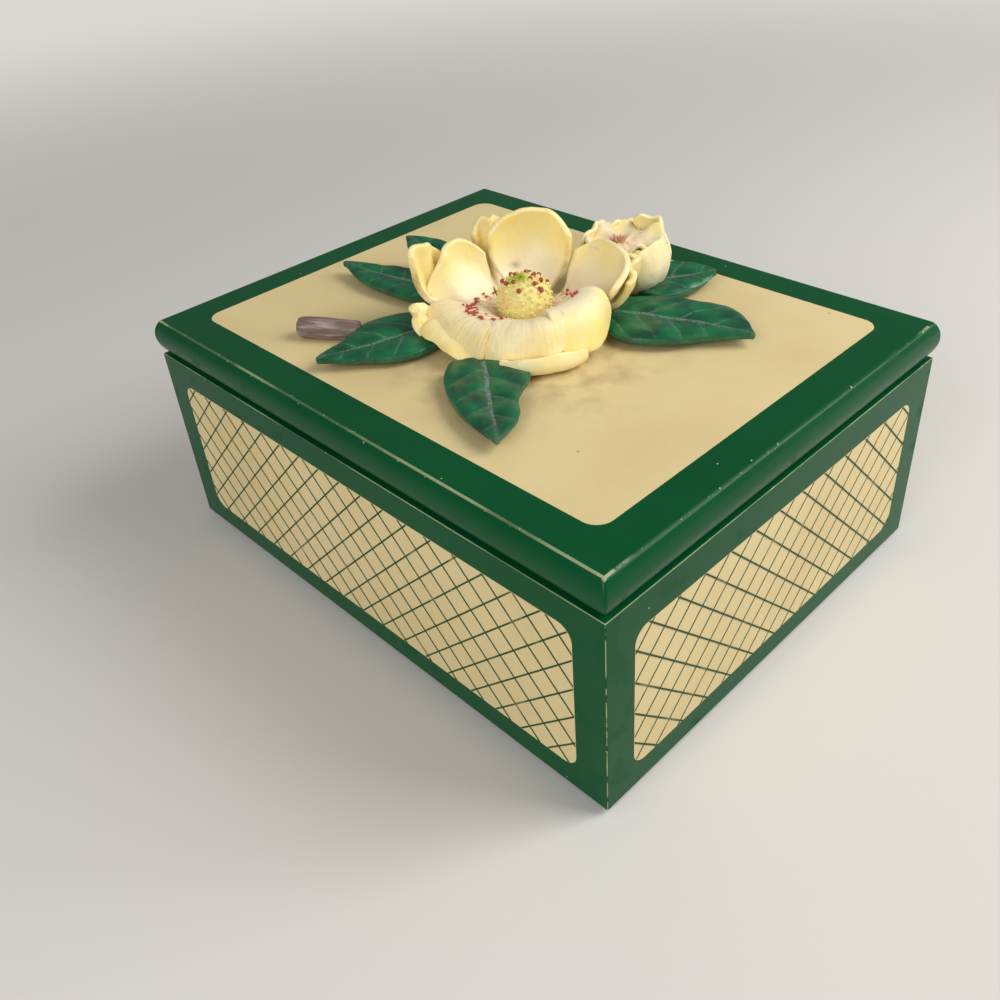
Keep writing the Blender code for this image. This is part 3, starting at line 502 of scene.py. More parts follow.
def petal_material(look):
    """Hand-painted cast resin with a low glaze.

    Ivory paint with a yellow wash brushed from the rims inwards, ochre on the folds,
    tan down in the throat, and olive-brown painted shade at the roots, along the seams
    and in the hollows. Fine grooves run from root to rim on the petals that roll over.
    """
    material, tree, shader = blank_material("painted_resin_petal", Roughness=0.42, IOR=1.5)
    shader.inputs["Subsurface Weight"].default_value = 0.08
    shader.inputs["Subsurface Radius"].default_value = (1.2 * MM, 0.9 * MM, 0.5 * MM)
    shader.inputs["Subsurface Scale"].default_value = 1.0
    along = node(tree, "TexCoord", out="UV")
    place = node(tree, "TexCoord", out="Object")
    drawn = node(tree, "Mapping", {"Vector": along, "Scale": (1.0, 0.10, 1.0)})
    grooves = node(tree, "TexNoise", {"Vector": drawn, "Scale": every(0.9), "Detail": 3.0})
    blotch = node(tree, "TexNoise", {"Vector": place, "Scale": every(5.0), "Detail": 5.0})
    fine = node(tree, "TexNoise", {"Vector": place, "Scale": every(0.7), "Detail": 3.0})
    base = look.ivory
    washes = (("yellow", look.yellow, 0.3), ("ochre", look.ochre, 0.5), ("blush", look.blush, 0.4))
    for name, wash, swing in washes:
        amount = node(tree, "Attribute", out="Fac", attribute_name=name)
        uneven = node(
            tree, "MapRange", {"Value": blotch, "From Min": 0.3, "From Max": 0.7,
                               "To Min": 1.0 - swing, "To Max": 1.0 + swing}
        )
        amount = node(tree, "Math", {0: amount, 1: uneven}, operation="MULTIPLY", use_clamp=True)
        base = node(tree, "Mix", {"Factor": amount, "A": base, "B": wash}, data_type="RGBA")
    hollow = node(tree, "MapRange", {"Value": grooves, "From Min": 0.52, "From Max": 0.30})
    cut = node(tree, "Attribute", out="Fac", attribute_name="grooved")
    hollow = node(tree, "Math", {0: hollow, 1: cut}, operation="MULTIPLY")
    hollow = node(tree, "Math", {0: hollow, 1: 0.35}, operation="MULTIPLY")
    base = node(tree, "Mix", {"Factor": hollow, "A": base, "B": look.ochre}, data_type="RGBA")
    # Painted shade: olive-brown at the roots, along the seams and in the hollows.
    folds = node(tree, "Attribute", out="Fac", attribute_name="painted_shade")
    rough = node(tree, "MapRange", {"Value": blotch, "From Min": 0.35, "From Max": 0.65})
    folds = node(tree, "Math", {0: folds, 1: rough}, operation="MULTIPLY", use_clamp=True)
    base = node(tree, "Mix", {"Factor": folds, "A": base, "B": look.painted_shade}, data_type="RGBA")
    height = node(tree, "Math", {0: fine, 1: 0.3}, operation="MULTIPLY")
    grooves = node(tree, "Math", {0: grooves, 1: cut}, operation="MULTIPLY")
    height = node(tree, "Math", {0: height, 1: grooves}, operation="ADD")
    relief = node(tree, "Bump", {"Height": height, "Strength": 0.9, "Distance": 0.35 * MM})
    gloss = node(tree, "MapRange", {"Value": blotch, "To Min": 0.34, "To Max": 0.52})
    feed(tree, shader, Base_Color=base, Roughness=gloss, Normal=relief)
    return material


def cone_material(look):
    """Cast resin seeds washed yellow and blotched ochre, with a lime crown."""
    material, tree, shader = blank_material("painted_resin_cone", Roughness=0.45, IOR=1.5)
    place = node(tree, "TexCoord", out="Object")
    blotch = node(tree, "TexNoise", {"Vector": place, "Scale": every(2.0), "Detail": 4.0})
    uneven = node(tree, "MapRange", {"Value": blotch, "From Min": 0.45, "From Max": 0.70})
    base = node(tree, "Mix", {"Factor": uneven, "A": look.cone, "B": look.ochre}, data_type="RGBA")
    crown = node(tree, "Attribute", out="Fac", attribute_name="crown")
    base = node(tree, "Mix", {"Factor": crown, "A": base, "B": look.lime}, data_type="RGBA")
    relief = node(tree, "Bump", {"Height": blotch, "Strength": 0.4, "Distance": 0.2 * MM})
    feed(tree, shader, Base_Color=base, Normal=relief)
    return material


def bead_material(look):
    """Drops of glossy red-brown paint, blotched with a redder brown."""
    material, tree, shader = blank_material("red_brown_paint", Roughness=0.3, IOR=1.5)
    place = node(tree, "TexCoord", out="Object")
    blotch = node(tree, "TexNoise", {"Vector": place, "Scale": every(1.0), "Detail": 3.0})
    base = node(tree, "Mix", {"Factor": blotch, "A": look.bead, "B": look.stamen_tip}, data_type="RGBA")
    feed(tree, shader, Base_Color=base)
    return material


def stamen_material(look):
    """Raised resin threads dabbed pinkish tan, with dark red on their ends."""
    material, tree, shader = blank_material("painted_resin_thread", Roughness=0.45, IOR=1.5)
    place = node(tree, "TexCoord", out="Object")
    blotch = node(tree, "TexNoise", {"Vector": place, "Scale": every(1.5), "Detail": 3.0})
    base = node(tree, "Mix", {"Factor": blotch, "A": look.ivory, "B": look.stamen}, data_type="RGBA")
    tip = node(tree, "Attribute", out="Fac", attribute_name="tip")
    base = node(tree, "Mix", {"Factor": tip, "A": base, "B": look.stamen_tip}, data_type="RGBA")
    feed(tree, shader, Base_Color=base)
    return material


def leaf_material(look):
    """Cast resin leaf in green enamel, dry-brushed with grey over its veins.

    The enamel is glossy and darker in soft clouds, and the dry brush catches
    only on what stands up.
    """
    material, tree, shader = blank_material("painted_resin_leaf", Roughness=0.34, IOR=1.5)
    place = node(tree, "TexCoord", out="Object")
    cloud = node(tree, "TexNoise", {"Vector": place, "Scale": every(6.0), "Detail": 5.0})
    fine = node(tree, "TexNoise", {"Vector": place, "Scale": every(0.8), "Detail": 4.0})
    pooled = node(tree, "MapRange", {"Value": cloud, "From Min": 0.35, "From Max": 0.65})
    base = node(tree, "Mix", {"Factor": pooled, "A": look.deep, "B": look.green}, data_type="RGBA")
    vein = node(tree, "Attribute", out="Fac", attribute_name="vein")
    broken = node(
        tree, "MapRange", {"Value": fine, "From Min": 0.36, "From Max": 0.62, "To Min": 0.15}
    )
    brushed = node(tree, "Math", {0: vein, 1: broken}, operation="MULTIPLY", use_clamp=True)
    base = node(tree, "Mix", {"Factor": brushed, "A": base, "B": look.dry_brush}, data_type="RGBA")
    gloss = node(tree, "MapRange", {"Value": cloud, "To Min": 0.26, "To Max": 0.42})
    gloss = node(tree, "Mix", {"Factor": brushed, "A": gloss, "B": 0.6}, data_type="FLOAT")
    relief = node(tree, "Bump", {"Height": fine, "Strength": 0.35, "Distance": 0.15 * MM})
    feed(tree, shader, Base_Color=base, Roughness=gloss, Normal=relief)
    return material


def bark_material(look, turn):
    """Cast resin twig in brown paint with paler streaks dragged along it."""
    material, tree, shader = blank_material("painted_resin_bark", Roughness=0.55, IOR=1.5)
    place = node(tree, "TexCoord", out="Object")
    turned = node(tree, "Mapping", {"Vector": place, "Rotation": (0.0, 0.0, -turn)})
    drawn = node(tree, "Mapping", {"Vector": turned, "Scale": (0.12, 1.0, 1.0)})
    streak = node(tree, "TexNoise", {"Vector": drawn, "Scale": every(0.8), "Detail": 4.0})
    pale = node(tree, "MapRange", {"Value": streak, "From Min": 0.48, "From Max": 0.70})
    base = node(tree, "Mix", {"Factor": pale, "A": look.bark, "B": look.bark_light}, data_type="RGBA")
    relief = node(tree, "Bump", {"Height": streak, "Strength": 0.6, "Distance": 0.3 * MM})
    feed(tree, shader, Base_Color=base, Normal=relief)
    return material


def felt_material(look):
    """Pressed wool felt: matt, with short fibres that lie every way and catch light."""
    material, tree, shader = blank_material("wool_felt", Roughness=0.95)
    shader.inputs["Sheen Weight"].default_value = 0.35
    shader.inputs["Sheen Roughness"].default_value = 0.6
    place = node(tree, "TexCoord", out="Object")
    fibre = node(tree, "TexNoise", {"Vector": place, "Scale": every(0.6), "Detail": 6.0, "Distortion": 2.0})
    cloud = node(tree, "TexNoise", {"Vector": place, "Scale": every(9.0), "Detail": 3.0})
    light = node(tree, "MapRange", {"Value": fibre, "From Min": 0.3, "From Max": 0.7,
                                    "To Min": 0.65, "To Max": 1.35})
    lain = node(tree, "MapRange", {"Value": cloud, "To Min": 0.85, "To Max": 1.15})
    light = node(tree, "Math", {0: light, 1: lain}, operation="MULTIPLY")
    base = node(
        tree, "Mix", {"Factor": 1.0, "A": look.felt, "B": light}, data_type="RGBA", blend_type="MULTIPLY"
    )
    relief = node(tree, "Bump", {"Height": fibre, "Strength": 0.7, "Distance": 0.3 * MM})
    feed(tree, shader, Base_Color=base, Normal=relief)
    return material


def brass_material(look):
    """Rolled and stamped brass with brush lines along the hinge and brown tarnish."""
    material, tree, shader = blank_material("stamped_brass", Metallic=1.0, Roughness=0.28)
    place = node(tree, "TexCoord", out="Object")
    drawn = node(tree, "Mapping", {"Vector": place, "Scale": (0.05, 1.0, 1.0)})
    lines = node(tree, "TexNoise", {"Vector": drawn, "Scale": every(0.25), "Detail": 3.0})
    tarnish = node(tree, "TexNoise", {"Vector": place, "Scale": every(4.0), "Detail": 5.0})
    aged = node(tree, "MapRange", {"Value": tarnish, "From Min": 0.50, "From Max": 0.75})
    dark = tuple(0.45 * channel for channel in look.brass)
    base = node(tree, "Mix", {"Factor": aged, "A": look.brass, "B": dark}, data_type="RGBA")
    gloss = node(tree, "MapRange", {"Value": tarnish, "To Min": 0.2, "To Max": 0.5})
    relief = node(tree, "Bump", {"Height": lines, "Strength": 0.2, "Distance": 0.03 * MM})
    feed(tree, shader, Base_Color=base, Roughness=gloss, Normal=relief)
    return material


def board_material(look):
    """Bare fibreboard: pressed wood dust, matt and even with fine dark fibres."""
    material, tree, shader = blank_material("bare_fibreboard", Roughness=0.85)
    place = node(tree, "TexCoord", out="Object")
    fibre = node(tree, "TexNoise", {"Vector": place, "Scale": every(0.9), "Detail": 6.0})
    cloud = node(tree, "TexNoise", {"Vector": place, "Scale": every(25.0), "Detail": 3.0})
    dark = tuple(0.6 * channel for channel in look.board)
    amount = node(tree, "MapRange", {"Value": fibre, "From Min": 0.40, "From Max": 0.70})
    base = node(tree, "Mix", {"Factor": amount, "A": look.board, "B": dark}, data_type="RGBA")
    light = node(tree, "MapRange", {"Value": cloud, "To Min": 0.9, "To Max": 1.1})
    base = node(
        tree, "Mix", {"Factor": 1.0, "A": base, "B": light}, data_type="RGBA", blend_type="MULTIPLY"
    )
    relief = node(tree, "Bump", {"Height": fibre, "Strength": 0.4, "Distance": 0.1 * MM})
    feed(tree, shader, Base_Color=base, Normal=relief)
    return material


# Case


def side_turn(side):
    """Return the matrix that turns the front to a side."""
    return Matrix.Rotation(math.radians(SIDE_TURNS[side]), 4, "Z")


def panel_corners(side):
    """Return a panel's recess as two corners, with the side turned to the front."""
    low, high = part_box(f"panel_{side}")
    back = side_turn(side).inverted()
    corners = [back @ low, back @ high]
    low = Vector(map(min, *corners))
    high = Vector(map(max, *corners))
    grown = Vector((GLUE_GAP, 0.0, GLUE_GAP))
    return low - grown, high + grown


def side_slab(name, side, look, grow=0.0, outwards=0.0, inwards=0.0):
    """Add a panel-shaped slab on a side, grown all round and in its thickness."""
    low, high = panel_corners(side)
    low -= Vector((grow, outwards, grow))
    high += Vector((grow, inwards, grow))
    piece = slab(name, low, high, look.corner + grow, across=1)
    piece.data.transform(side_turn(side))
    return piece


def hinge_seats(cutter_name, part, low_z, high_z):
    """Return one cutter for the seats of both hinges in the case or the lid."""
    cutters = []
    for side in ("left", "right"):
        low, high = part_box(f"hinge_{side}_{part}_leaf")
        room = Vector((GLUE_GAP, GLUE_GAP, 0.0))
        low, high = low - room, high + room
        cutters.append(
            block(cutter_name, Vector((low.x, low.y, low_z)), Vector((high.x, high.y, high_z)))
        )
    return joined(cutter_name, cutters)


class TRINKET_OT_case(bpy.types.Operator):
    """Build the painted case with its four cream panels and their lattice"""

    bl_idname = "trinket.case"
    bl_label = "Painted case"

    def execute(self, context):
        look = context.scene.trinket_case
        reach = Vector((CASE_HALF_X, CASE_HALF_Y, 0.0))
        case = block(
            "painted_case", Vector((0, 0, CASE_FOOT)) - reach, Vector((0, 0, CASE_RIM)) + reach
        )
        modified(case, "BEVEL", width=look.arris, segments=3, limit_method="ANGLE")
        inside = reach - Vector((WALL_THICKNESS, WALL_THICKNESS, -CUT_OVERRUN))
        carved(case, block("hollow", Vector((0, 0, CASE_FOOT)) - inside, Vector((0, 0, CASE_RIM)) + inside))
        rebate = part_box("bottom_board")[1] + Vector((GLUE_GAP, GLUE_GAP, 0.0))
        low = Vector((-rebate.x, -rebate.y, CASE_FOOT - CUT_OVERRUN))
        carved(case, block("rebate", low, Vector((rebate.x, rebate.y, REBATE_TOP))))
        for side in SIDES:
            carved(case, side_slab("recess", side, look, PAINT_GAP, CUT_OVERRUN, PAINT_GAP))
        carved(case, hinge_seats("seats", "case", CASE_RIM - HINGE_SEAT, CASE_RIM + CUT_OVERRUN))
        smoothed(case)
        modified(case, "WEIGHTED_NORMAL", keep_sharp=True)
        # The pale line along the case's rim is a painted highlight, partly worn through.
        paint = lacquer_material(
            "green_enamel_case", look, reach, CASE_FOOT, CASE_RIM, (0.24, 0.16), (0.9, 0.8),
            (0.0, 0.0, 1.0), CASE_RIM - look.arris,
        )
        finished(case, paint, "box", "green_lacquer", *[f"wall_{side}" for side in SIDES])
        cream = cream_material("cream_enamel_side", look)
        ink = ink_material(look)
        for side in SIDES:
            panel = side_slab(f"cream_panel_{side}", side, look)
            finished(panel, cream, "box", "cream_paper", f"panel_{side}")
            finished(lattice(side, look), ink, "box", "green_lacquer")
        return {"FINISHED"}


LONG_STARTS_MM = (89.5, 112.2)
SHORT_STARTS_MM = (6.6, 13.1)
LATTICE_STARTS_MM = {
    "front": LONG_STARTS_MM, "right": SHORT_STARTS_MM, "back": LONG_STARTS_MM, "left": SHORT_STARTS_MM,
}
LINE_RISE = 0.05 * MM


def lattice(side, look):
    """Make a side's lattice of two families of diagonal lines."""
    low, high = panel_corners(side)
    drop = high.z - low.z
    left_edge = -(CASE_HALF_X if side in ("front", "back") else CASE_HALF_Y)
    families = []
    for index, (pitch, lean) in enumerate(((look.rising, 1.0), (look.falling, -1.0))):
        start = left_edge + LATTICE_STARTS_MM[side][index] * MM
        first = math.ceil((low.x - drop - start) / pitch)
        last = math.floor((high.x + drop - start) / pitch)
        lines = []
        for step in range(first, last + 1):
            line = added(
                bpy.ops.mesh.primitive_cube_add, "line", size=1.0,
                location=(start + step * pitch, low.y, high.z),
                rotation=(0.0, lean * math.radians(-45.0), 0.0),
            )
            line.scale = (4.0 * (high.x - low.x), 2.0 * LINE_RISE * (1 + index), look.line_width)
            lines.append(settled(line))
        family = joined("lines", lines)
        keep = slab(
            "keep",
            low + Vector((look.line_margin, -CUT_OVERRUN, look.line_margin)),
            high + Vector((-look.line_margin, CUT_OVERRUN, -look.line_margin)),
            look.corner - look.line_margin, across=1,
        )
        families.append(carved(family, keep, "INTERSECT"))
    whole = joined(f"lattice_{side}", families)
    whole.data.transform(side_turn(side))
    return whole


# Lid


def lid_edge(look, steps=14):
    """Return the lid's edge as an arc of (reach past the case, height)."""
    thickness = LID_TOP - LID_FOOT
    chord = Vector((look.foot_inset - look.arris_inset, thickness))
    middle = Vector((-(look.foot_inset + look.arris_inset) / 2.0, thickness / 2.0))
    rise = LID_BULGE - middle.x
    radius = (chord.length**2 / 4.0 + rise**2) / (2.0 * rise)
    outward = Vector((chord.y, -chord.x)).normalized()
    centre = middle - outward * (radius - rise)
    half_turn = math.asin(chord.length / 2.0 / radius)
    start = math.atan2(outward.y, outward.x) - half_turn
    turns = [start + 2.0 * half_turn * step / steps for step in range(steps + 1)]
    return [(centre.x + radius * math.cos(t), centre.y + radius * math.sin(t)) for t in turns]


class TRINKET_OT_lid(bpy.types.Operator):
    """Build the painted lid with its rounded edge and its cream field"""

    bl_idname = "trinket.lid"
    bl_label = "Painted lid"

    def execute(self, context):
        look = context.scene.trinket_case
        edge = lid_edge(look)
        sizes = [(CASE_HALF_X + reach, CASE_HALF_Y + reach, height) for reach, height in edge]
        lid = added(
            bpy.ops.mesh.primitive_plane_add, "painted_lid", size=2.0, location=(0, 0, LID_FOOT)
        )
        lid.scale = (sizes[0][0], sizes[0][1], 1.0)
        settled(lid)
        with editing(lid):
            bpy.ops.mesh.select_all(action="SELECT")
            for (old_x, old_y, old_z), (new_x, new_y, new_z) in zip(sizes, sizes[1:]):
                bpy.ops.mesh.extrude_region_move(
                    TRANSFORM_OT_translate={"value": (0.0, 0.0, new_z - old_z)}
                )
                bpy.ops.transform.resize(
                    value=(new_x / old_x, new_y / old_y, 1.0), center_override=(0, 0, LID_FOOT + new_z)
                )
            bpy.ops.mesh.select_all(action="SELECT")
            bpy.ops.mesh.normals_make_consistent(inside=False)
        modified(lid, "BEVEL", width=look.lid_arris, segments=6, limit_method="ANGLE",
                 angle_limit=math.radians(40.0))
        low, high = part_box("lid_field")
        grown = Vector((GLUE_GAP, GLUE_GAP, 0.0))
        low, high = low - grown, high + grown
        over = Vector((PAINT_GAP, PAINT_GAP, CUT_OVERRUN))
        under = Vector((PAINT_GAP, PAINT_GAP, PAINT_GAP))
        carved(lid, slab("recess", low - under, high + over, look.corner + GLUE_GAP))
        carved(lid, hinge_seats("seats", "lid", LID_FOOT - CUT_OVERRUN, LID_FOOT + HINGE_SEAT))
        smoothed(lid)
        modified(lid, "WEIGHTED_NORMAL", keep_sharp=True)
        half = Vector((CASE_HALF_X - look.arris_inset, CASE_HALF_Y - look.arris_inset))
        # The pale line along the lid's front arris is a painted highlight, partly worn through.
        paint = lacquer_material(
            "green_enamel_lid", look, half, LID_FOOT - 10.0 * MM, LID_TOP, (0.40, 0.32), (0.0, 0.6),
            (0.0, -1.0, 0.0), half.y - 2.0 * look.lid_arris,
        )
        finished(lid, paint, "lid", "green_lacquer", "lid_board")
        field = slab("cream_field", low, high, look.corner + GLUE_GAP)
        cream = cream_material("cream_enamel_lid", look, dust_and_shade_share=0.55)
        finished(field, cream, "lid", "cream_paper", "lid_field")
        return {"FINISHED"}


# Petals


class Petal(NamedTuple):
    """One petal: where it stands, the arc it bends along, its outline and its paint.

    The arc is four control points from root to rim, as shares of the blossom's
    radius and height. Angles are in degrees, and the rest are shares: flare moves
    one side of the petal outwards and grooved is how strong its fine grooves are.
    """

    node: str
    bearing: float
    half_span: float
    arc: tuple
    root: float = 0.5
    drop: float = 0.22
    blunt: float = 2.4
    tip: float = 0.0
    tilt: tuple = (0.0, 0.0)
    cup: float = 0.05
    curl: tuple = (0.0, 0.0)
    ruffle: float = 0.015
    waves: float = 1.5
    crease: float = 0.0
    yellow: float = 0.8
    ochre: float = 0.0
    blush: float = 0.5
    painted_shade: float = 0.1
    thick: float = 1.0
    dark_spot: tuple = (9.0, 9.0)
    flare: float = 0.0
    grooved: float = 0.12


NOISE_SEED = 1
LARGE_PETALS = (
    Petal("outer_petal_back", 155.5, 12.5, ((0.26, 0.16), (0.57, 0.12), (0.90, 0.30), (0.91, 0.88)),
          root=0.6, drop=0.10, crease=0.10, ochre=0.4, ruffle=0.02, painted_shade=0.4),
    Petal("outer_petal_left", 206.0, 13.0, ((0.26, 0.16), (0.72, 0.10), (1.00, 0.36), (0.97, 0.86)),
          root=0.7, drop=0.08, tip=0.3, tilt=(0.08, 0.0), crease=0.05, ochre=0.2),
    Petal("outer_petal_curl", 230.0, 10.0, ((0.26, 0.14), (0.66, 0.16), (1.00, 0.13), (1.03, 0.34)),
          root=0.8, drop=0.14, tilt=(0.0, -0.08), crease=0.05, ochre=0.5, painted_shade=0.35, thick=1.3),
    Petal("outer_petal_front_left", 264.0, 29.0, ((0.26, 0.12), (0.60, 0.20), (0.86, 0.22), (0.90, 0.13)),
          root=0.8, drop=0.06, tilt=(-0.08, -0.07), ochre=0.4, ruffle=0.025, waves=2.2, blush=0.4, thick=1.4),
    Petal("outer_petal_front", -35.0, 26.0, ((0.36, 0.12), (0.70, 0.05), (0.99, 0.02), (0.87, 0.22)),
          root=0.9, drop=0.08, ruffle=0.015, ochre=0.1, yellow=0.6, thick=1.6),
    Petal("outer_petal_right", 59.0, 16.0, ((0.26, 0.16), (0.72, 0.08), (1.02, 0.30), (0.99, 0.62)),
          root=0.8, drop=0.12, tilt=(0.0, 0.04), ruffle=0.03, waves=3.0, crease=-0.07, ochre=0.2, painted_shade=0.3),
    Petal("petal_back", 129.0, 32.0, ((0.24, 0.20), (0.64, 0.14), (0.90, 0.52), (0.76, 0.965)),
          root=0.45, drop=0.18, cup=0.10, yellow=0.9, blush=0.1, dark_spot=(0.42, 0.50)),
    Petal("petal_left", 191.0, 26.0, ((0.24, 0.20), (0.58, 0.12), (0.84, 0.42), (0.80, 0.79)),
          cup=0.10, curl=(0.0, 0.16), ochre=0.1, blush=0.15, yellow=0.7),
    Petal("petal_right", 67.0, 34.0, ((0.24, 0.20), (0.60, 0.14), (0.91, 0.38), (0.94, 0.70)),
          cup=0.06, blush=0.8, ruffle=0.02, yellow=0.6),
    Petal("petal_front_left", 254.0, 34.0, ((0.24, 0.18), (0.42, 0.30), (0.72, 0.50), (0.84, 0.10)),
          root=0.9, drop=0.03, flare=0.16, ochre=0.45, blush=0.6, grooved=1.0, yellow=0.6),
    Petal("petal_front", -45.0, 31.0, ((0.24, 0.20), (0.44, 0.34), (0.74, 0.62), (0.80, 0.10)),
          root=0.9, drop=0.03, tilt=(0.0, 0.10), ochre=0.3, blush=0.3, grooved=0.8, yellow=0.6),
    Petal("petal_front_right", 2.0, 29.0, ((0.24, 0.20), (0.50, 0.46), (0.76, 0.72), (0.82, 0.10)),
          root=0.8, drop=0.08, tilt=(0.0, 0.03), blush=0.3, yellow=0.9, thick=1.2),
)

SMALL_PETALS = (
    Petal("bud_petal_1", 8.0, 44.0, ((0.30, 0.05), (1.00, 0.05), (1.22, 0.62), (0.80, 0.93)),
          root=0.8, drop=0.16, ruffle=0.04, waves=1.4, crease=0.04, yellow=0.5),
    Petal("bud_petal_2", 76.0, 40.0, ((0.30, 0.05), (0.90, 0.05), (1.18, 0.60), (0.84, 1.02)),
          root=0.8, drop=0.14, ruffle=0.07, waves=1.8, crease=-0.08, yellow=0.6, tip=0.4),
    Petal("bud_petal_3", 142.0, 36.0, ((0.30, 0.05), (0.85, 0.05), (1.14, 0.60), (0.84, 0.92)),
          root=0.8, drop=0.14, ruffle=0.08, waves=1.3, yellow=0.5),
    Petal("bud_petal_4", 200.0, 40.0, ((0.30, 0.05), (0.85, 0.05), (1.14, 0.60), (0.80, 1.00)),
          root=0.8, drop=0.18, ruffle=0.06, waves=1.1, crease=0.08, yellow=0.5, tip=-0.3),
    Petal("bud_petal_5", 262.0, 38.0, ((0.30, 0.05), (0.80, 0.05), (1.06, 0.60), (0.72, 0.88)),
          root=0.8, drop=0.14, ruffle=0.08, waves=1.7, ochre=0.1, yellow=0.5),
    Petal("bud_petal_6", 320.0, 38.0, ((0.30, 0.05), (0.90, 0.05), (1.16, 0.55), (0.74, 0.86)),
          root=0.8, drop=0.12, ruffle=0.05, waves=1.2, crease=0.06, yellow=0.6),
)


def bent(points, along):
    """Return places on a cubic curve through four control points."""
    p = np.array(points, float)
    t = along[:, None]
    u = 1.0 - t
    return p[0] * u**3 + 3.0 * p[1] * t * u**2 + 3.0 * p[2] * t**2 * u + p[3] * t**3


def eased(values, low, high):
    """Return a smooth step from 0 to 1 between two values."""
    t = np.clip((values - low) / (high - low), 0.0, 1.0)
    return t * t * (3.0 - 2.0 * t)


def petal_points(shape, across, along, radius, height):
    """Return the middle surface of a petal about its blossom's axis."""
    reached = along * (1.0 - shape.drop * np.abs(across - shape.tip) ** shape.blunt)
    arc = bent(shape.arc, reached)
    spread = shape.root + (1.0 - shape.root) * eased(reached, -0.1, 0.65)
    side = np.where(across < 0.0, shape.curl[0], shape.curl[1])
    rolled = side * eased(np.abs(across), 0.45, 1.0) * eased(along, 0.1, 0.7)
    wave = np.sin(across * shape.waves * math.pi + shape.bearing) * along**2
    fold = np.exp(-((across / 0.22) ** 2)) * np.sin(along * math.pi * 0.75)
    r = arc[:, 0] * (1.0 - shape.cup * across**2 * along) + rolled
    lean = across * eased(along, 0.2, 0.8)
    r = r + shape.ruffle * wave - shape.crease * fold + shape.tilt[0] * lean
    h = arc[:, 1] - rolled * 0.9 + shape.ruffle * 0.6 * wave * np.cos(across * 5.0 + shape.bearing)
    h = h + shape.tilt[1] * lean
    r = r + shape.flare * eased(-across, 0.2, 1.0) * eased(along, 0.1, 0.5)
    turn = np.radians(shape.bearing + shape.half_span * spread * across)
    return np.stack((r * np.cos(turn) * radius, r * np.sin(turn) * radius, h * height), axis=1)


def waver(points, size, amount):
    """Return points pushed by a smooth noise of a size, the same in each run."""
    noise.seed_set(NOISE_SEED)
    pushed = [noise.noise_vector(Vector(point) / size) * amount for point in points]
    return points + np.array(pushed)


def grid_piece(name, columns, rows, surface, paint, uv_size):
    """Add a grid and shape it by a function of across (-1 to 1) and along (0 to 1)."""
    piece = added(
        bpy.ops.mesh.primitive_grid_add, name, x_subdivisions=columns, y_subdivisions=rows,
        size=2.0, calc_uvs=True,
    )
    mesh = piece.data
    flat = np.empty(len(mesh.vertices) * 3)
    mesh.vertices.foreach_get("co", flat)
    across, along = flat[0::3], np.clip((flat[1::3] + 1.0) / 2.0, 0.0, 1.0)
    mesh.vertices.foreach_set("co", surface(across, along).ravel())
    for wash, amount in paint(across, along).items():
        attribute = mesh.attributes.new(wash, "FLOAT", "POINT")
        attribute.data.foreach_set("value", np.ascontiguousarray(amount, dtype=np.float32))
    uv = np.empty(len(mesh.loops) * 2)
    mesh.uv_layers.active.data.foreach_get("uv", uv)
    uv[0::2] *= uv_size[0]
    uv[1::2] *= uv_size[1]
    mesh.uv_layers.active.data.foreach_set("uv", uv)
    mesh.update()
    return piece


def petal_paint(shape, across, along):
    """Return the share of each wash over a petal."""
    rim = eased(along, 0.40, 0.92) * (1.0 - 0.25 * eased(along, 0.975, 1.0))
    side = eased(np.abs(across), 0.75, 1.0)
    # The painted shade darkens the root, the side seams where petals lie against their neighbours, and one
    # darker spot.
    seam = eased(np.abs(across), 0.92, 0.99) * eased(along, 0.1, 0.3) * (1.0 - eased(along, 0.8, 0.95))
    spot = np.exp(-(((across - shape.dark_spot[0]) / 0.16) ** 2) - ((along - shape.dark_spot[1]) / 0.04) ** 2)
    return {
        "yellow": shape.yellow * np.maximum(rim, 0.35 * side * eased(along, 0.3, 0.7)),
        "ochre": shape.ochre * eased(along, 0.35, 0.9) * (0.5 + 0.5 * side),
        "blush": shape.blush * (1.0 - eased(along, 0.15, 0.75)),
        "painted_shade": shape.painted_shade * (1.0 - eased(along, 0.0, 0.4)) + 0.6 * seam + 0.9 * spot,
        "grooved": np.full(len(along), shape.grooved),
    }


def make_petal(shape, centre, foot, radius, height, thickness, material):
    """Make one petal with rounded rims and stand it in its blossom."""
    def surface(across, along):
        points = petal_points(shape, across, along, radius, height)
        points = waver(points, 7.0 * MM, 0.45 * MM)
        points = waver(points, 2.2 * MM, 0.10 * MM)
        return points + np.array((centre.x, centre.y, foot))

    width = 2.0 * math.radians(shape.half_span) * radius * 0.8
    span = math.hypot(radius * (shape.arc[3][0] - shape.arc[0][0]), height * 0.6)
    piece = grid_piece(
        f"moulded_{shape.node}", 40, 44, surface,
        lambda across, along: petal_paint(shape, across, along), (width, span),
    )
    modified(piece, "SOLIDIFY", thickness=thickness * shape.thick, offset=0.0, use_even_offset=False)
    modified(piece, "SUBSURF", levels=1, render_levels=1)
    low = min(vertex.co.z for vertex in piece.data.vertices)
    if low < foot:
        for vertex in piece.data.vertices:
            vertex.co.z = max(vertex.co.z, foot)
    with editing(piece):
        bpy.ops.mesh.select_all(action="SELECT")
        bpy.ops.mesh.normals_make_consistent(inside=False)
    smoothed(piece, 180.0)
    return finished(piece, material, "lid", "ivory_resin", shape.node)


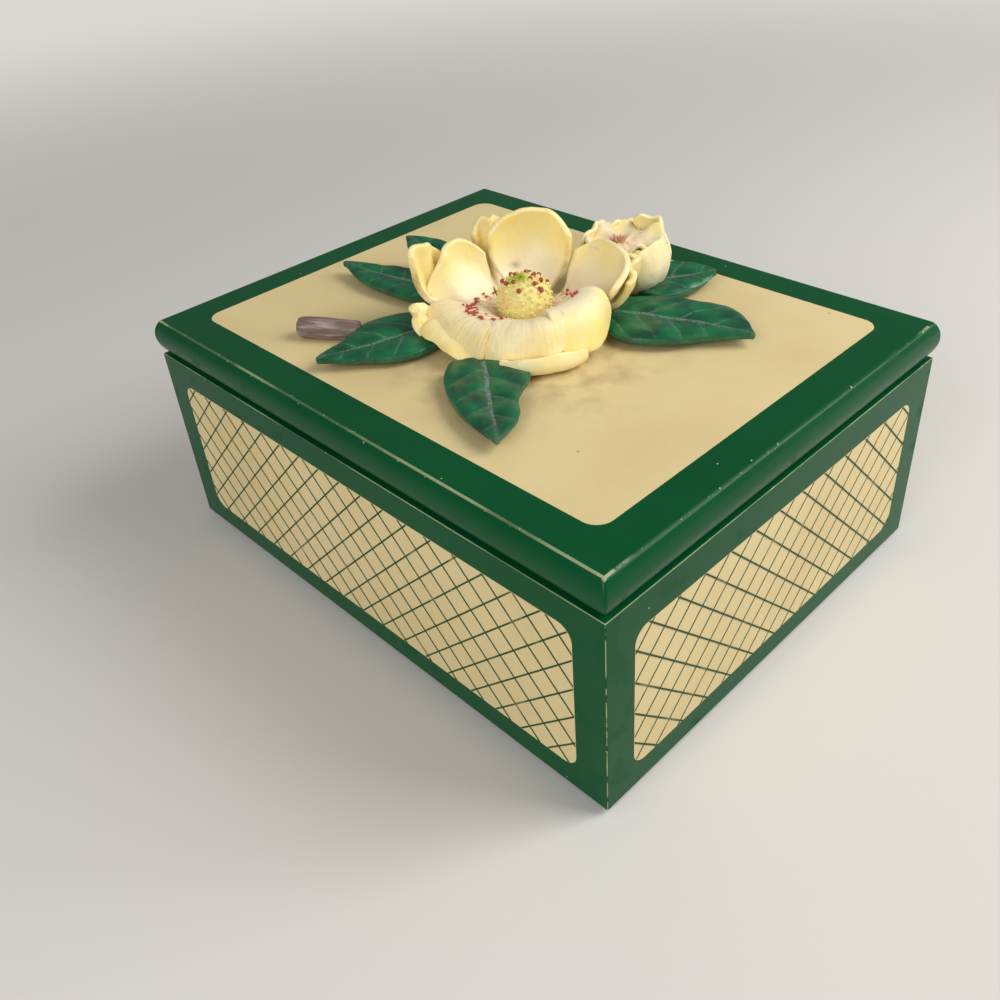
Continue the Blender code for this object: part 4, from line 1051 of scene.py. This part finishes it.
class TRINKET_OT_blossom(bpy.types.Operator):
    """Model the petals of the large and the small blossom"""

    bl_idname = "trinket.blossom"
    bl_label = "Petals"

    def execute(self, context):
        look = context.scene.trinket_blossom
        glaze = petal_material(look)
        foot = LID_TOP + REST_GAP
        for shape in LARGE_PETALS:
            make_petal(shape, BLOSSOM_CENTRE, foot, look.radius, look.height, look.thickness, glaze)
        for shape in SMALL_PETALS:
            make_petal(
                shape, BUD_CENTRE, foot, look.bud_radius, look.bud_height, look.bud_thickness, glaze
            )
        return {"FINISHED"}


# Cone and stamens

CONE_STATIONS = (
    (20.5, 0.0), (20.0, 1.6), (16.0, 3.6), (9.5, 4.9), (6.6, 5.4), (6.3, 6.4), (6.8, 8.6), (6.7, 10.8),
    (5.8, 13.0), (3.8, 14.8), (0.0, 15.6),
)
CONE_START = 4
SEEDS = 190
BEADS = 19
STAMENS = 96
STAMEN_BEARINGS = ((175.0, 290.0), (10.0, 85.0), (200.0, 255.0))
STAMEN_CLIMB = 7.0 * MM
STAMEN_STEPS = 12
STAMEN_FLOOR = 5.0 * MM
STAMEN_CEILING = 14.0 * MM
RAY_START = 0.2
THREAD_TAPER = 0.35
GOLDEN_TURN = math.pi * (3.0 - math.sqrt(5.0))


def turned_piece(name, stations_mm, centre, foot, sides):
    """Spin an outline of (radius, height) about an upright axis."""
    piece = added(bpy.ops.mesh.primitive_circle_add, name, vertices=sides, radius=stations_mm[0][0] * MM,
                  fill_type="NGON", location=(centre.x, centre.y, foot))
    settled(piece)
    with editing(piece):
        bpy.ops.mesh.select_all(action="SELECT")
        for (old_r, old_h), (new_r, new_h) in zip(stations_mm, stations_mm[1:]):
            bpy.ops.mesh.extrude_region_move(
                TRANSFORM_OT_translate={"value": (0.0, 0.0, (new_h - old_h) * MM)}
            )
            ratio = max(new_r, 0.02) / old_r if old_r else 1.0
            bpy.ops.transform.resize(
                value=(ratio, ratio, 1.0), center_override=(centre.x, centre.y, foot + new_h * MM)
            )
        bpy.ops.mesh.select_all(action="SELECT")
        bpy.ops.mesh.normals_make_consistent(inside=False)
    return piece


def cone_surface(share):
    """Return the (radius, height) on the cone's outline at a share of its length."""
    outline = np.array(CONE_STATIONS[CONE_START:], float)
    steps = np.hypot(*np.diff(outline, axis=0).T)
    run = np.concatenate(((0.0,), np.cumsum(steps)))
    at = share * run[-1]
    return np.interp(at, run, outline[:, 0]), np.interp(at, run, outline[:, 1])


def flag(piece, name, value):
    """Give every point of a piece the same value of an attribute."""
    attribute = piece.data.attributes.new(name, "FLOAT", "POINT")
    attribute.data.foreach_set("value", np.full(len(piece.data.vertices), value, np.float32))
    return piece


def copied(master, places, attribute=None, values=()):
    """Return a copy of a piece, with its own mesh, at each place, and take the first away."""
    pieces = []
    for index, place in enumerate(places):
        piece = bpy.data.objects.new(master.name, master.data.copy())
        bpy.context.scene.collection.objects.link(piece)
        piece.data.transform(place)
        if attribute:
            flag(piece, attribute, values[index])
        pieces.append(piece)
    bpy.data.objects.remove(master)
    return pieces


def seed(name, size, stretch, finer=False):
    """Add one small rounded seed that stands along Z."""
    piece = added(bpy.ops.mesh.primitive_ico_sphere_add, name, subdivisions=1 + finer, radius=size)
    piece.scale = (1.0, 1.0, stretch)
    return smoothed(settled(piece), 180.0)


def on_cone(share, turn, lift, out=0.0):
    """Return the matrix that stands something on the cone, leaning up by a slope."""
    radius, height = cone_surface(share)
    facing = Vector((math.cos(turn), math.sin(turn), lift)).normalized()
    place = BLOSSOM_CENTRE + Vector((0.0, 0.0, LID_TOP + REST_GAP + height * MM))
    place += Vector((math.cos(turn), math.sin(turn), 0.0)) * radius * MM + facing * out
    return Matrix.Translation(place) @ facing.to_track_quat("Z", "Y").to_matrix().to_4x4()


class TRINKET_OT_cone(bpy.types.Operator):
    """Model the seed cone and its beads"""

    bl_idname = "trinket.cone"
    bl_label = "Seed cone"

    def execute(self, context):
        look = context.scene.trinket_blossom
        foot = LID_TOP + REST_GAP
        core = flag(turned_piece("core", CONE_STATIONS, BLOSSOM_CENTRE, foot, 40), "crown", 0.0)
        places, crowns = [], []
        lime_spot = on_cone(0.86, math.radians(250.0), 1.0).translation
        for index in range(SEEDS):
            share = (index + 0.5) / SEEDS
            turn = index * GOLDEN_TURN + 0.12 * math.sin(index * 2.3)
            places.append(on_cone(share, turn, 0.35 + 1.6 * share, 0.12 * MM * math.sin(index * 5.1)))
            crowns.append(float(1.0 - eased((places[-1].translation - lime_spot).length, 1.6 * MM, 3.2 * MM)))
        seeds = copied(seed("seed", look.seed_size, 1.3), places, "crown", crowns)
        cone = joined("moulded_seed_cone", [smoothed(core, 60.0), *seeds])
        finished(cone, cone_material(look), "lid", "cone_resin", "receptacle_cone")
        places = []
        for index in range(BEADS):
            share = 0.52 + 0.40 * ((index * 0.618 + 0.2) % 1.0)
            turn = index * 2.0 * math.pi / BEADS * 1.27 + 0.5 * math.sin(index * 1.9)
            grown = Matrix.Scale(0.75 + 0.4 * ((index * 0.37) % 1.0), 4)
            places.append(on_cone(share, turn, 0.4 + 1.2 * share, 0.35 * MM) @ grown)
        beads = joined("cone_beads", copied(seed("bead", look.bead_size, 1.0, True), places))
        finished(beads, bead_material(look), "lid", "cone_resin")
        return {"FINISHED"}


class TRINKET_OT_heart(bpy.types.Operator):
    """Model the crumpled middle of the small blossom and its short stamens"""

    bl_idname = "trinket.heart"
    bl_label = "Small blossom's middle"

    def execute(self, context):
        look = context.scene.trinket_blossom

        def surface(across, along):
            turn = across * math.pi
            folds = 0.075 * np.sin(4.0 * turn + 3.5 * along) + 0.045 * np.sin(7.0 * turn - 2.0 * along + 1.0)
            hollow = 0.20 * np.exp(-(((turn - 0.1) / 0.5) ** 2) - ((along - 0.45) / 0.22) ** 2)
            height = 0.80 + folds * along + 0.08 * eased(along, 0.55, 1.0) - hollow
            reach = along * 0.88 * look.bud_radius * (1.0 + 0.05 * np.sin(3.0 * turn))
            points = np.column_stack((reach * np.cos(turn), reach * np.sin(turn), height * look.bud_height))
            points = points + np.array((BUD_CENTRE.x, BUD_CENTRE.y, LID_TOP))
            return waver(points, 2.4 * MM, 0.35 * MM)

        def paint(across, along):
            turn = across * math.pi
            folds = eased(np.sin(5.0 * turn + 2.5 * along), 0.0, 1.0)
            # Painted shade: darker in the sunken hollow of the crumpled middle and between its folds.
            dark = np.exp(-(((turn - 0.1) / 0.5) ** 2) - ((along - 0.45) / 0.22) ** 2)
            return {
                "yellow": 0.7 * folds * eased(along, 0.3, 0.9),
                "ochre": 0.2 * folds,
                "blush": 0.9 * (1.0 - eased(along, 0.2, 0.8)),
                "painted_shade": 0.6 * dark + 0.3 * (1.0 - folds) * eased(along, 0.3, 0.8),
                "grooved": np.full(len(along), 0.12),
            }

        heart = grid_piece("moulded_heart", 72, 24, surface, paint, (30.0 * MM, 10.0 * MM))
        with editing(heart):
            bpy.ops.mesh.select_all(action="SELECT")
            bpy.ops.mesh.remove_doubles(threshold=0.02 * MM)
            bpy.ops.mesh.normals_make_consistent(inside=False)
        modified(heart, "SOLIDIFY", thickness=look.bud_thickness, offset=-1.0, use_even_offset=False)
        smoothed(heart, 180.0)
        finished(heart, bpy.data.materials["painted_resin_petal"], "lid", "ivory_resin", "bud_core")
        middle = BUD_CENTRE + Vector((-1.6 * MM, -0.8 * MM, LID_TOP + 0.84 * look.bud_height))
        places = []
        for index in range(14):
            turn = index * GOLDEN_TURN
            reach = 0.55 * math.sqrt(index) * MM
            lean = Vector((math.cos(turn), math.sin(turn), 1.6)).normalized()
            spot = middle + Vector((math.cos(turn), math.sin(turn), 0.0)) * reach
            places.append(Matrix.Translation(spot) @ lean.to_track_quat("Z", "Y").to_matrix().to_4x4())
        grains = copied(seed("grain", look.stamen_size * 1.0, 3.0, True), places, "tip", [0.55] * len(places))
        finished(joined("heart_stamens", grains), stamen_material(look), "lid", "ivory_resin")
        return {"FINISHED"}


def landed(floors, x, y):
    """Return the height of the topmost of some pieces at a point."""
    heights = [LID_TOP + STAMEN_FLOOR]
    for floor in floors:
        hit, place, _, _ = floor.ray_cast(Vector((x, y, RAY_START)), Vector((0.0, 0.0, -1.0)))
        if hit and place.z < LID_TOP + STAMEN_CEILING:
            heights.append(place.z)
    return max(heights)


def laid(thread, path, radius):
    """Return a copy of a rounded thread laid along a path."""
    piece = bpy.data.objects.new("thread", thread.data.copy())
    bpy.context.scene.collection.objects.link(piece)
    for vertex in piece.data.vertices:
        at = (vertex.co.z + 1.0) / 2.0 * (len(path) - 1)
        low = min(int(at), len(path) - 2)
        run = (path[low + 1] - path[low]).normalized()
        aside = Vector((-run.y, run.x, 0.0)).normalized()
        spine = path[low].lerp(path[low + 1], at - low)
        width = radius * (1.0 - THREAD_TAPER * at / (len(path) - 1))
        vertex.co = spine + aside * vertex.co.x * width + run.cross(aside) * vertex.co.y * width
    return piece


class TRINKET_OT_stamens(bpy.types.Operator):
    """Lay the stamens on the petals round the cone"""

    bl_idname = "trinket.stamens"
    bl_label = "Stamens"

    def execute(self, context):
        look = context.scene.trinket_blossom
        floors = [bpy.data.objects[f"moulded_{shape.node}"] for shape in LARGE_PETALS]
        thread = added(bpy.ops.mesh.primitive_uv_sphere_add, "thread", segments=6, ring_count=12, radius=1.0)
        threads, tips = [], []
        for index in range(STAMENS):
            low, high = STAMEN_BEARINGS[index % len(STAMEN_BEARINGS)]
            share = (index // len(STAMEN_BEARINGS) * 0.618034 + 0.13) % 1.0
            turn = math.radians(low + (high - low) * share)
            start = (7.0 + 1.5 * ((index * 0.37) % 1.0)) * MM
            length_along = (4.6 + 3.2 * ((index * 0.71) % 1.0)) * MM
            path = []
            for step in range(STAMEN_STEPS + 1):
                reach = start + length_along * step / STAMEN_STEPS
                bend = turn + 0.05 * math.sin(index * 1.7 + step * 0.35)
                x = BLOSSOM_CENTRE.x + reach * math.cos(bend)
                y = BLOSSOM_CENTRE.y + reach * math.sin(bend)
                path.append(Vector((x, y, landed(floors, x, y))))
            level = np.array([place.z for place in path])
            level = np.maximum(level, np.convolve(np.pad(level, 2, "edge"), np.full(5, 0.2), "valid"))
            if np.ptp(level) > STAMEN_CLIMB:
                continue
            for place, height in zip(path, level):
                place.z = height + 0.6 * look.stamen_size
            threads.append(laid(thread, path, look.stamen_size))
            grown = Matrix.Scale(0.7 + 0.5 * ((index * 0.53) % 1.0), 4)
            tips.append(Matrix.Translation(path[-1] + Vector((0.0, 0.0, 0.12 * MM))) @ grown)
        bpy.data.objects.remove(thread)
        for piece in threads:
            flag(piece, "tip", 0.0)
        anthers = copied(seed("anther", look.stamen_size * 1.35, 0.8, True), tips, "tip", [1.0] * len(tips))
        stamens = joined("stamen_threads", threads + anthers)
        finished(smoothed(stamens, 180.0), stamen_material(look), "lid", "ivory_resin")
        return {"FINISHED"}


# Leaves


class Leaf(NamedTuple):
    """One leaf: the curve of its midrib in plan and its half widths, in millimetres."""

    node: str
    rib: tuple
    left: tuple
    right: tuple
    lift: float = 0.0


LEAVES = (
    Leaf("leaf_right", ((19.0, 13.0), (35.0, 22.0), (54.3, 24.5)),
         (8.0, 11.6, 11.7, 10.4, 0.0), (9.5, 13.2, 11.4, 5.4, 0.0)),
    Leaf("leaf_back_right", ((12.0, 31.0), (20.0, 40.0), (26.0, 48.5)),
         (6.0, 9.5, 10.6, 8.0, 0.0), (7.0, 10.9, 8.8, 4.6, 0.0)),
    Leaf("leaf_front", ((10.5, -25.5), (24.5, -36.7), (39.0, -48.0)),
         (7.0, 10.8, 6.8, 5.4, 0.0), (8.0, 9.8, 8.4, 5.0, 0.0)),
    Leaf("leaf_front_left", ((-12.0, -20.0), (-17.0, -35.0), (-21.0, -51.8)),
         (7.0, 10.4, 9.4, 4.6, 0.0), (9.0, 12.2, 11.6, 5.4, 0.0)),
    Leaf("leaf_left", ((-18.0, -4.0), (-40.0, -8.0), (-63.0, -11.5)),
         (4.0, 6.8, 7.2, 5.0, 0.0), (4.0, 7.4, 7.6, 5.0, 0.0)),
    Leaf("leaf_back_left", ((-20.0, 1.0), (-35.0, 4.0), (-51.0, 3.5)),
         (3.4, 6.4, 7.0, 5.0, 0.0), (3.4, 6.4, 7.0, 5.0, 0.0), 6.0),
)


def through(values, along):
    """Return a smooth curve through evenly spaced values."""
    v = np.array((2 * values[0] - values[1], *values, -values[-2]), float)
    at = np.clip(along, 0.0, 1.0) * (len(values) - 1)
    i = np.minimum(at.astype(int), len(values) - 2)
    t = at - i
    a, b, c, d = v[i], v[i + 1], v[i + 2], v[i + 3]
    return 0.5 * (2 * b + (c - a) * t + (2 * a - 5 * b + 4 * c - d) * t**2 + (3 * b - a - 3 * c + d) * t**3)


def leaf_relief(look, across_mm, along_mm, fade):
    """Return how far the veins stand up and how far the leaf swells between them."""
    pitch = look.vein_pitch / MM
    aside = np.abs(across_mm)
    run = along_mm - 0.75 * aside - 0.02 * aside**2 + np.where(across_mm < 0.0, 0.45 * pitch, 0.0)
    cell = run / pitch - np.floor(run / pitch)
    gap = np.minimum(cell, 1.0 - cell) * pitch
    side = np.exp(-((gap / 0.32) ** 2)) * fade
    middle = np.exp(-((aside / 0.48) ** 2))
    swell = np.sin(math.pi * cell) ** 0.7 * eased(aside, 0.3, 3.0) * fade
    return np.maximum(side * 0.65, middle), swell


def leaf_frame(shape, look, across, along):
    """Return a leaf's plan points, its relief and its fade towards the edge."""
    rib = np.array(shape.rib)
    t = along[:, None]
    place = rib[0] * (1 - t) ** 2 + 2 * rib[1] * t * (1 - t) + rib[2] * t**2
    slope = (rib[1] - rib[0]) * (1 - t) + (rib[2] - rib[1]) * t
    slope /= np.linalg.norm(slope, axis=1)[:, None]
    reach = np.where(across > 0.0, through(shape.left, along), through(shape.right, along))
    reach = np.maximum(reach, 0.35)
    aside = across * reach
    plan = place + np.stack((-slope[:, 1], slope[:, 0]), axis=1) * aside[:, None]
    fade = 1.0 - eased(np.abs(across), 0.72, 0.97)
    along_mm = along * np.linalg.norm(rib[2] - rib[0])
    vein, swell = leaf_relief(look, aside, along_mm, fade)
    return plan, vein, swell, fade


def make_leaf(shape, look, material):
    """Make one leaf with a thick rounded edge, raised veins and quilted lobes."""
    foot = LID_TOP + REST_GAP

    def surface(across, along):
        plan, vein, swell, fade = leaf_frame(shape, look, across, along)
        full = eased(1.0 - along, 0.0, 0.3)
        crown = look.thickness * (0.75 + 0.25 * fade * full) + full * look.quilting * swell
        valley = look.thickness * 0.25 * np.exp(-((across / 0.2) ** 2))
        crown = crown + full * (look.vein_height * vein - valley)
        lift = shape.lift * MM * np.sin(along * math.pi / 2.0)
        tip = 0.8 * MM * eased(along, 0.7, 1.0)
        points = np.column_stack((plan * MM, foot + crown + lift + tip))
        points = waver(points, 9.0 * MM, 0.35 * MM)
        return waver(points, 2.5 * MM, 0.08 * MM)

    def paint(across, along):
        _, vein, _, _ = leaf_frame(shape, look, across, along)
        margin = 0.10 * eased(np.abs(across), 0.9, 1.0)
        return {"vein": np.maximum(0.8 * vein * (1.0 - 0.5 * eased(along, 0.5, 1.0)), margin)}

    run = (Vector(shape.rib[2]) - Vector(shape.rib[0])).length * MM
    piece = grid_piece(f"moulded_{shape.node}", 64, 72, surface, paint, (20.0 * MM, run))
    modified(piece, "SOLIDIFY", thickness=look.thickness * 0.8, offset=-1.0, use_even_offset=False)
    modified(piece, "SUBSURF", levels=1, render_levels=1)
    if not shape.lift:
        for vertex in piece.data.vertices:
            vertex.co.z = max(vertex.co.z, foot)
    with editing(piece):
        bpy.ops.mesh.select_all(action="SELECT")
        bpy.ops.mesh.normals_make_consistent(inside=False)
    smoothed(piece, 180.0)
    return finished(piece, material, "lid", "leaf_resin", shape.node)


class TRINKET_OT_leaves(bpy.types.Operator):
    """Model the six leaves and the cut stem"""

    bl_idname = "trinket.leaves"
    bl_label = "Leaves and stem"

    def execute(self, context):
        look = context.scene.trinket_leaves
        green = leaf_material(look)
        for shape in LEAVES:
            make_leaf(shape, look, green)
        make_stem(look)
        return {"FINISHED"}


STEM_START = Vector((-41.0, -43.0)) * MM
STEM_TURN = math.radians(31.0)
STEM_LENGTH = 17.0 * MM
STEM_RADIUS = 2.75 * MM


def make_stem(look):
    """Make the cut stem: a ridged rod with a rounded, slightly sunken end."""
    stem = added(
        bpy.ops.mesh.primitive_cylinder_add, "moulded_stem", vertices=48, radius=STEM_RADIUS,
        depth=STEM_LENGTH, rotation=(0.0, math.pi / 2.0, 0.0),
    )
    stem.location = (STEM_LENGTH / 2.0, 0.0, 0.0)
    settled(stem)
    with editing(stem):
        pick(stem, "EDGE", lambda edge: abs((edge.verts[0].co - edge.verts[1].co).x) > 1e-5)
        bpy.ops.mesh.subdivide(number_cuts=30)
        pick(stem, "FACE", lambda face: len(face.verts) > 4 and face.calc_center_median().x < 1e-5)
        bpy.ops.mesh.inset(thickness=0.6 * MM)
        bpy.ops.transform.translate(value=(0.5 * MM, 0.0, 0.0))
        bpy.ops.mesh.inset(thickness=0.9 * MM)
    for vertex in stem.data.vertices:
        turn = math.atan2(vertex.co.z, vertex.co.y)
        ridge = 0.10 * math.sin(turn * 9.0 + vertex.co.x / (4.0 * MM)) + 0.07 * math.sin(turn * 17.0)
        knot = 0.25 * math.sin(vertex.co.x / (3.2 * MM))
        rounding = 0.5 * math.exp(-vertex.co.x / (0.5 * MM))
        scale = 1.0 + (ridge + knot - rounding) * MM / STEM_RADIUS * 0.8
        vertex.co.y *= scale
        vertex.co.z *= scale
    place = Matrix.Translation((*STEM_START, LID_TOP + STEM_RADIUS))
    stem.data.transform(place @ Matrix.Rotation(STEM_TURN, 4, "Z"))
    for vertex in stem.data.vertices:
        vertex.co.z = max(vertex.co.z, LID_TOP + REST_GAP)
    modified(stem, "SUBSURF", levels=1, render_levels=1)
    smoothed(stem, 50.0)
    finished(stem, bark_material(look, STEM_TURN), "lid", "bark_resin", "stem")


# Inside


FELT_SHEETS = (
    ("floor_lining", "box", (0, 1), "laid"), ("base_felt", "box", (0, 1), "stretched"),
    ("lid_lining", "lid", (0, 1), "stretched"), ("lining_front", "box", (0, 2), "hung"),
    ("lining_back", "box", (0, 2), "hung"), ("lining_left", "box", (1, 2), "hung"),
    ("lining_right", "box", (1, 2), "hung"),
)


class TRINKET_OT_inside(bpy.types.Operator):
    """Lay the felt and finish the hinges and the bottom board"""

    bl_idname = "trinket.inside"
    bl_label = "Felt, hinges and bottom"

    def execute(self, context):
        look = context.scene.trinket_inside
        felt = felt_material(look)
        for name, body, axes, held in FELT_SHEETS:
            low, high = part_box(name)
            piece = block(f"felt_{name}", low, high)
            modified(piece, "BEVEL", width=0.3 * MM, segments=3, limit_method="ANGLE")
            smoothed(piece)
            finished(piece, felt, body, "green_felt", name)
        brass, board = brass_material(look), board_material(look)
        for name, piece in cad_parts.items():
            if name.startswith("hinge_"):
                piece.data.materials.clear()
                piece.data.materials.append(brass)
        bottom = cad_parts["bottom_board"]
        bottom.data.materials.clear()
        bottom.data.materials.append(board)
        return {"FINISHED"}


# Stage


def add_lamp(name, place, target, size, power, shade):
    """Add a square lamp that faces a point."""
    lamp = bpy.data.lights.new(name, "AREA")
    lamp.size = size
    lamp.energy = power
    lamp.color = shade
    holder = bpy.data.objects.new(name, lamp)
    bpy.context.scene.collection.objects.link(holder)
    holder.location = place
    holder.rotation_mode = "QUATERNION"
    holder.rotation_quaternion = (Vector(place) - Vector(target)).to_track_quat("Z", "Y")


class TRINKET_OT_stage(bpy.types.Operator):
    """Set up the floor, the lamps, the sky and the camera"""

    bl_idname = "trinket.stage"
    bl_label = "Stage"

    def execute(self, context):
        look = context.scene.trinket_stage
        floor = added(bpy.ops.mesh.primitive_plane_add, "floor", size=2.0 * look.floor_half)
        material, tree, shader = blank_material("matt_floor", Roughness=0.9)
        place = node(tree, "TexCoord", out="Object")
        cloud = node(tree, "TexNoise", {"Vector": place, "Scale": every(300.0), "Detail": 3.0})
        light = node(tree, "MapRange", {"Value": cloud, "To Min": 0.98, "To Max": 1.02})
        base = node(tree, "Mix", {"Factor": 1.0, "A": look.floor, "B": light}, data_type="RGBA",
                    blend_type="MULTIPLY")
        reach = node(tree, "VectorMath", {0: place}, out="Value", operation="LENGTH")
        far = node(tree, "MapRange", {"Value": reach, "From Min": 0.22, "From Max": 0.95},
                   interpolation_type="SMOOTHSTEP")
        seen = node(tree, "LightPath", out="Is Camera Ray")
        far = node(tree, "Math", {0: far, 1: seen}, operation="MULTIPLY")
        base = node(tree, "Mix", {"Factor": far, "A": base, "B": (0.0, 0.0, 0.0)}, data_type="RGBA")
        shader.inputs["Emission Color"].default_value = (*look.floor, 1.0)
        feed(tree, shader, Base_Color=base, Emission_Strength=far)
        floor.data.materials.append(material)
        add_lamp("key", (0.45, 0.36, 0.60), (0.0, 0.0, 0.05), 0.45, look.key_power, (1.0, 0.98, 0.94))
        add_lamp("fill", (0.22, -0.78, 0.46), (0.0, 0.0, 0.05), 0.5, look.fill_power, (0.98, 0.99, 1.0))
        add_lamp("rim", (0.51, 0.60, 0.36), (0.05, 0.0, 0.06), 0.25, look.rim_power, (0.97, 0.99, 1.0))
        world = bpy.data.worlds.new("sky")
        context.scene.world = world
        world.use_nodes = True
        sky = world.node_tree
        even = sky.nodes["Background"]
        even.inputs["Color"].default_value = (1.0, 1.0, 1.0, 1.0)
        pale = sum(look.floor) / 3.0
        seen = node(sky, "LightPath", out="Is Camera Ray")
        mirrored = node(sky, "LightPath", out="Is Glossy Ray")
        bent_ray = node(sky, "LightPath", out="Is Transmission Ray")
        plain = node(sky, "Math", {0: seen, 1: bent_ray}, operation="MAXIMUM")
        strength = node(sky, "Mix", {"Factor": plain, "A": look.sky, "B": pale}, data_type="FLOAT")
        strength = node(sky, "Mix", {"Factor": mirrored, "A": strength, "B": 0.22}, data_type="FLOAT")
        sky.links.new(strength, even.inputs["Strength"])
        camera = bpy.data.cameras.new("camera")
        holder = bpy.data.objects.new("camera", camera)
        context.scene.collection.objects.link(holder)
        holder.location = (look.camera_x, look.camera_y, look.camera_z)
        holder.rotation_euler = (look.pitch, look.roll, look.heading)
        camera.sensor_width = 36.0
        camera.lens = look.lens
        camera.shift_x, camera.shift_y = look.shift_x, look.shift_y
        camera.clip_start, camera.clip_end = 10.0 * MM, 20.0
        context.scene.camera = holder
        context.scene.view_settings.view_transform = "Standard"
        return {"FINISHED"}


# Panel and registration

STEPS = (
    TRINKET_OT_stage, TRINKET_OT_case, TRINKET_OT_lid, TRINKET_OT_blossom, TRINKET_OT_cone,
    TRINKET_OT_heart, TRINKET_OT_stamens, TRINKET_OT_leaves, TRINKET_OT_inside,
)
GROUPS = {
    "trinket_case": TrinketCase, "trinket_blossom": TrinketBlossom, "trinket_leaves": TrinketLeaves,
    "trinket_inside": TrinketInside, "trinket_stage": TrinketStage,
}


class TRINKET_PT_panel(bpy.types.Panel):
    """The steps that build the box, and the sizes and colours that they use"""

    bl_idname = "TRINKET_PT_panel"
    bl_label = "Trinket box"
    bl_space_type = "VIEW_3D"
    bl_region_type = "UI"
    bl_category = "Trinket box"

    def draw(self, context):
        for step in STEPS:
            self.layout.operator(step.bl_idname)
        for group in GROUPS:
            held = getattr(context.scene, group)
            column = self.layout.column()
            for name in held.bl_rna.properties.keys():
                if name not in ("name", "rna_type"):
                    column.prop(held, name)


def register():
    """Register the groups, the operators and the panel."""
    for name, group in GROUPS.items():
        bpy.utils.register_class(group)
        setattr(bpy.types.Scene, name, bpy.props.PointerProperty(type=group))
    for step in (*STEPS, TRINKET_PT_panel):
        bpy.utils.register_class(step)


def unregister():
    """Take the panel, the operators and the groups away again."""
    for step in (TRINKET_PT_panel, *reversed(STEPS)):
        bpy.utils.unregister_class(step)
    for name, group in reversed(GROUPS.items()):
        delattr(bpy.types.Scene, name)
        bpy.utils.unregister_class(group)


def main():
    """Build the whole box step by step."""
    register()
    for step in STEPS:
        family, name = step.bl_idname.split(".")
        getattr(getattr(bpy.ops, family), name)()


if __name__ == "__main__":
    main()
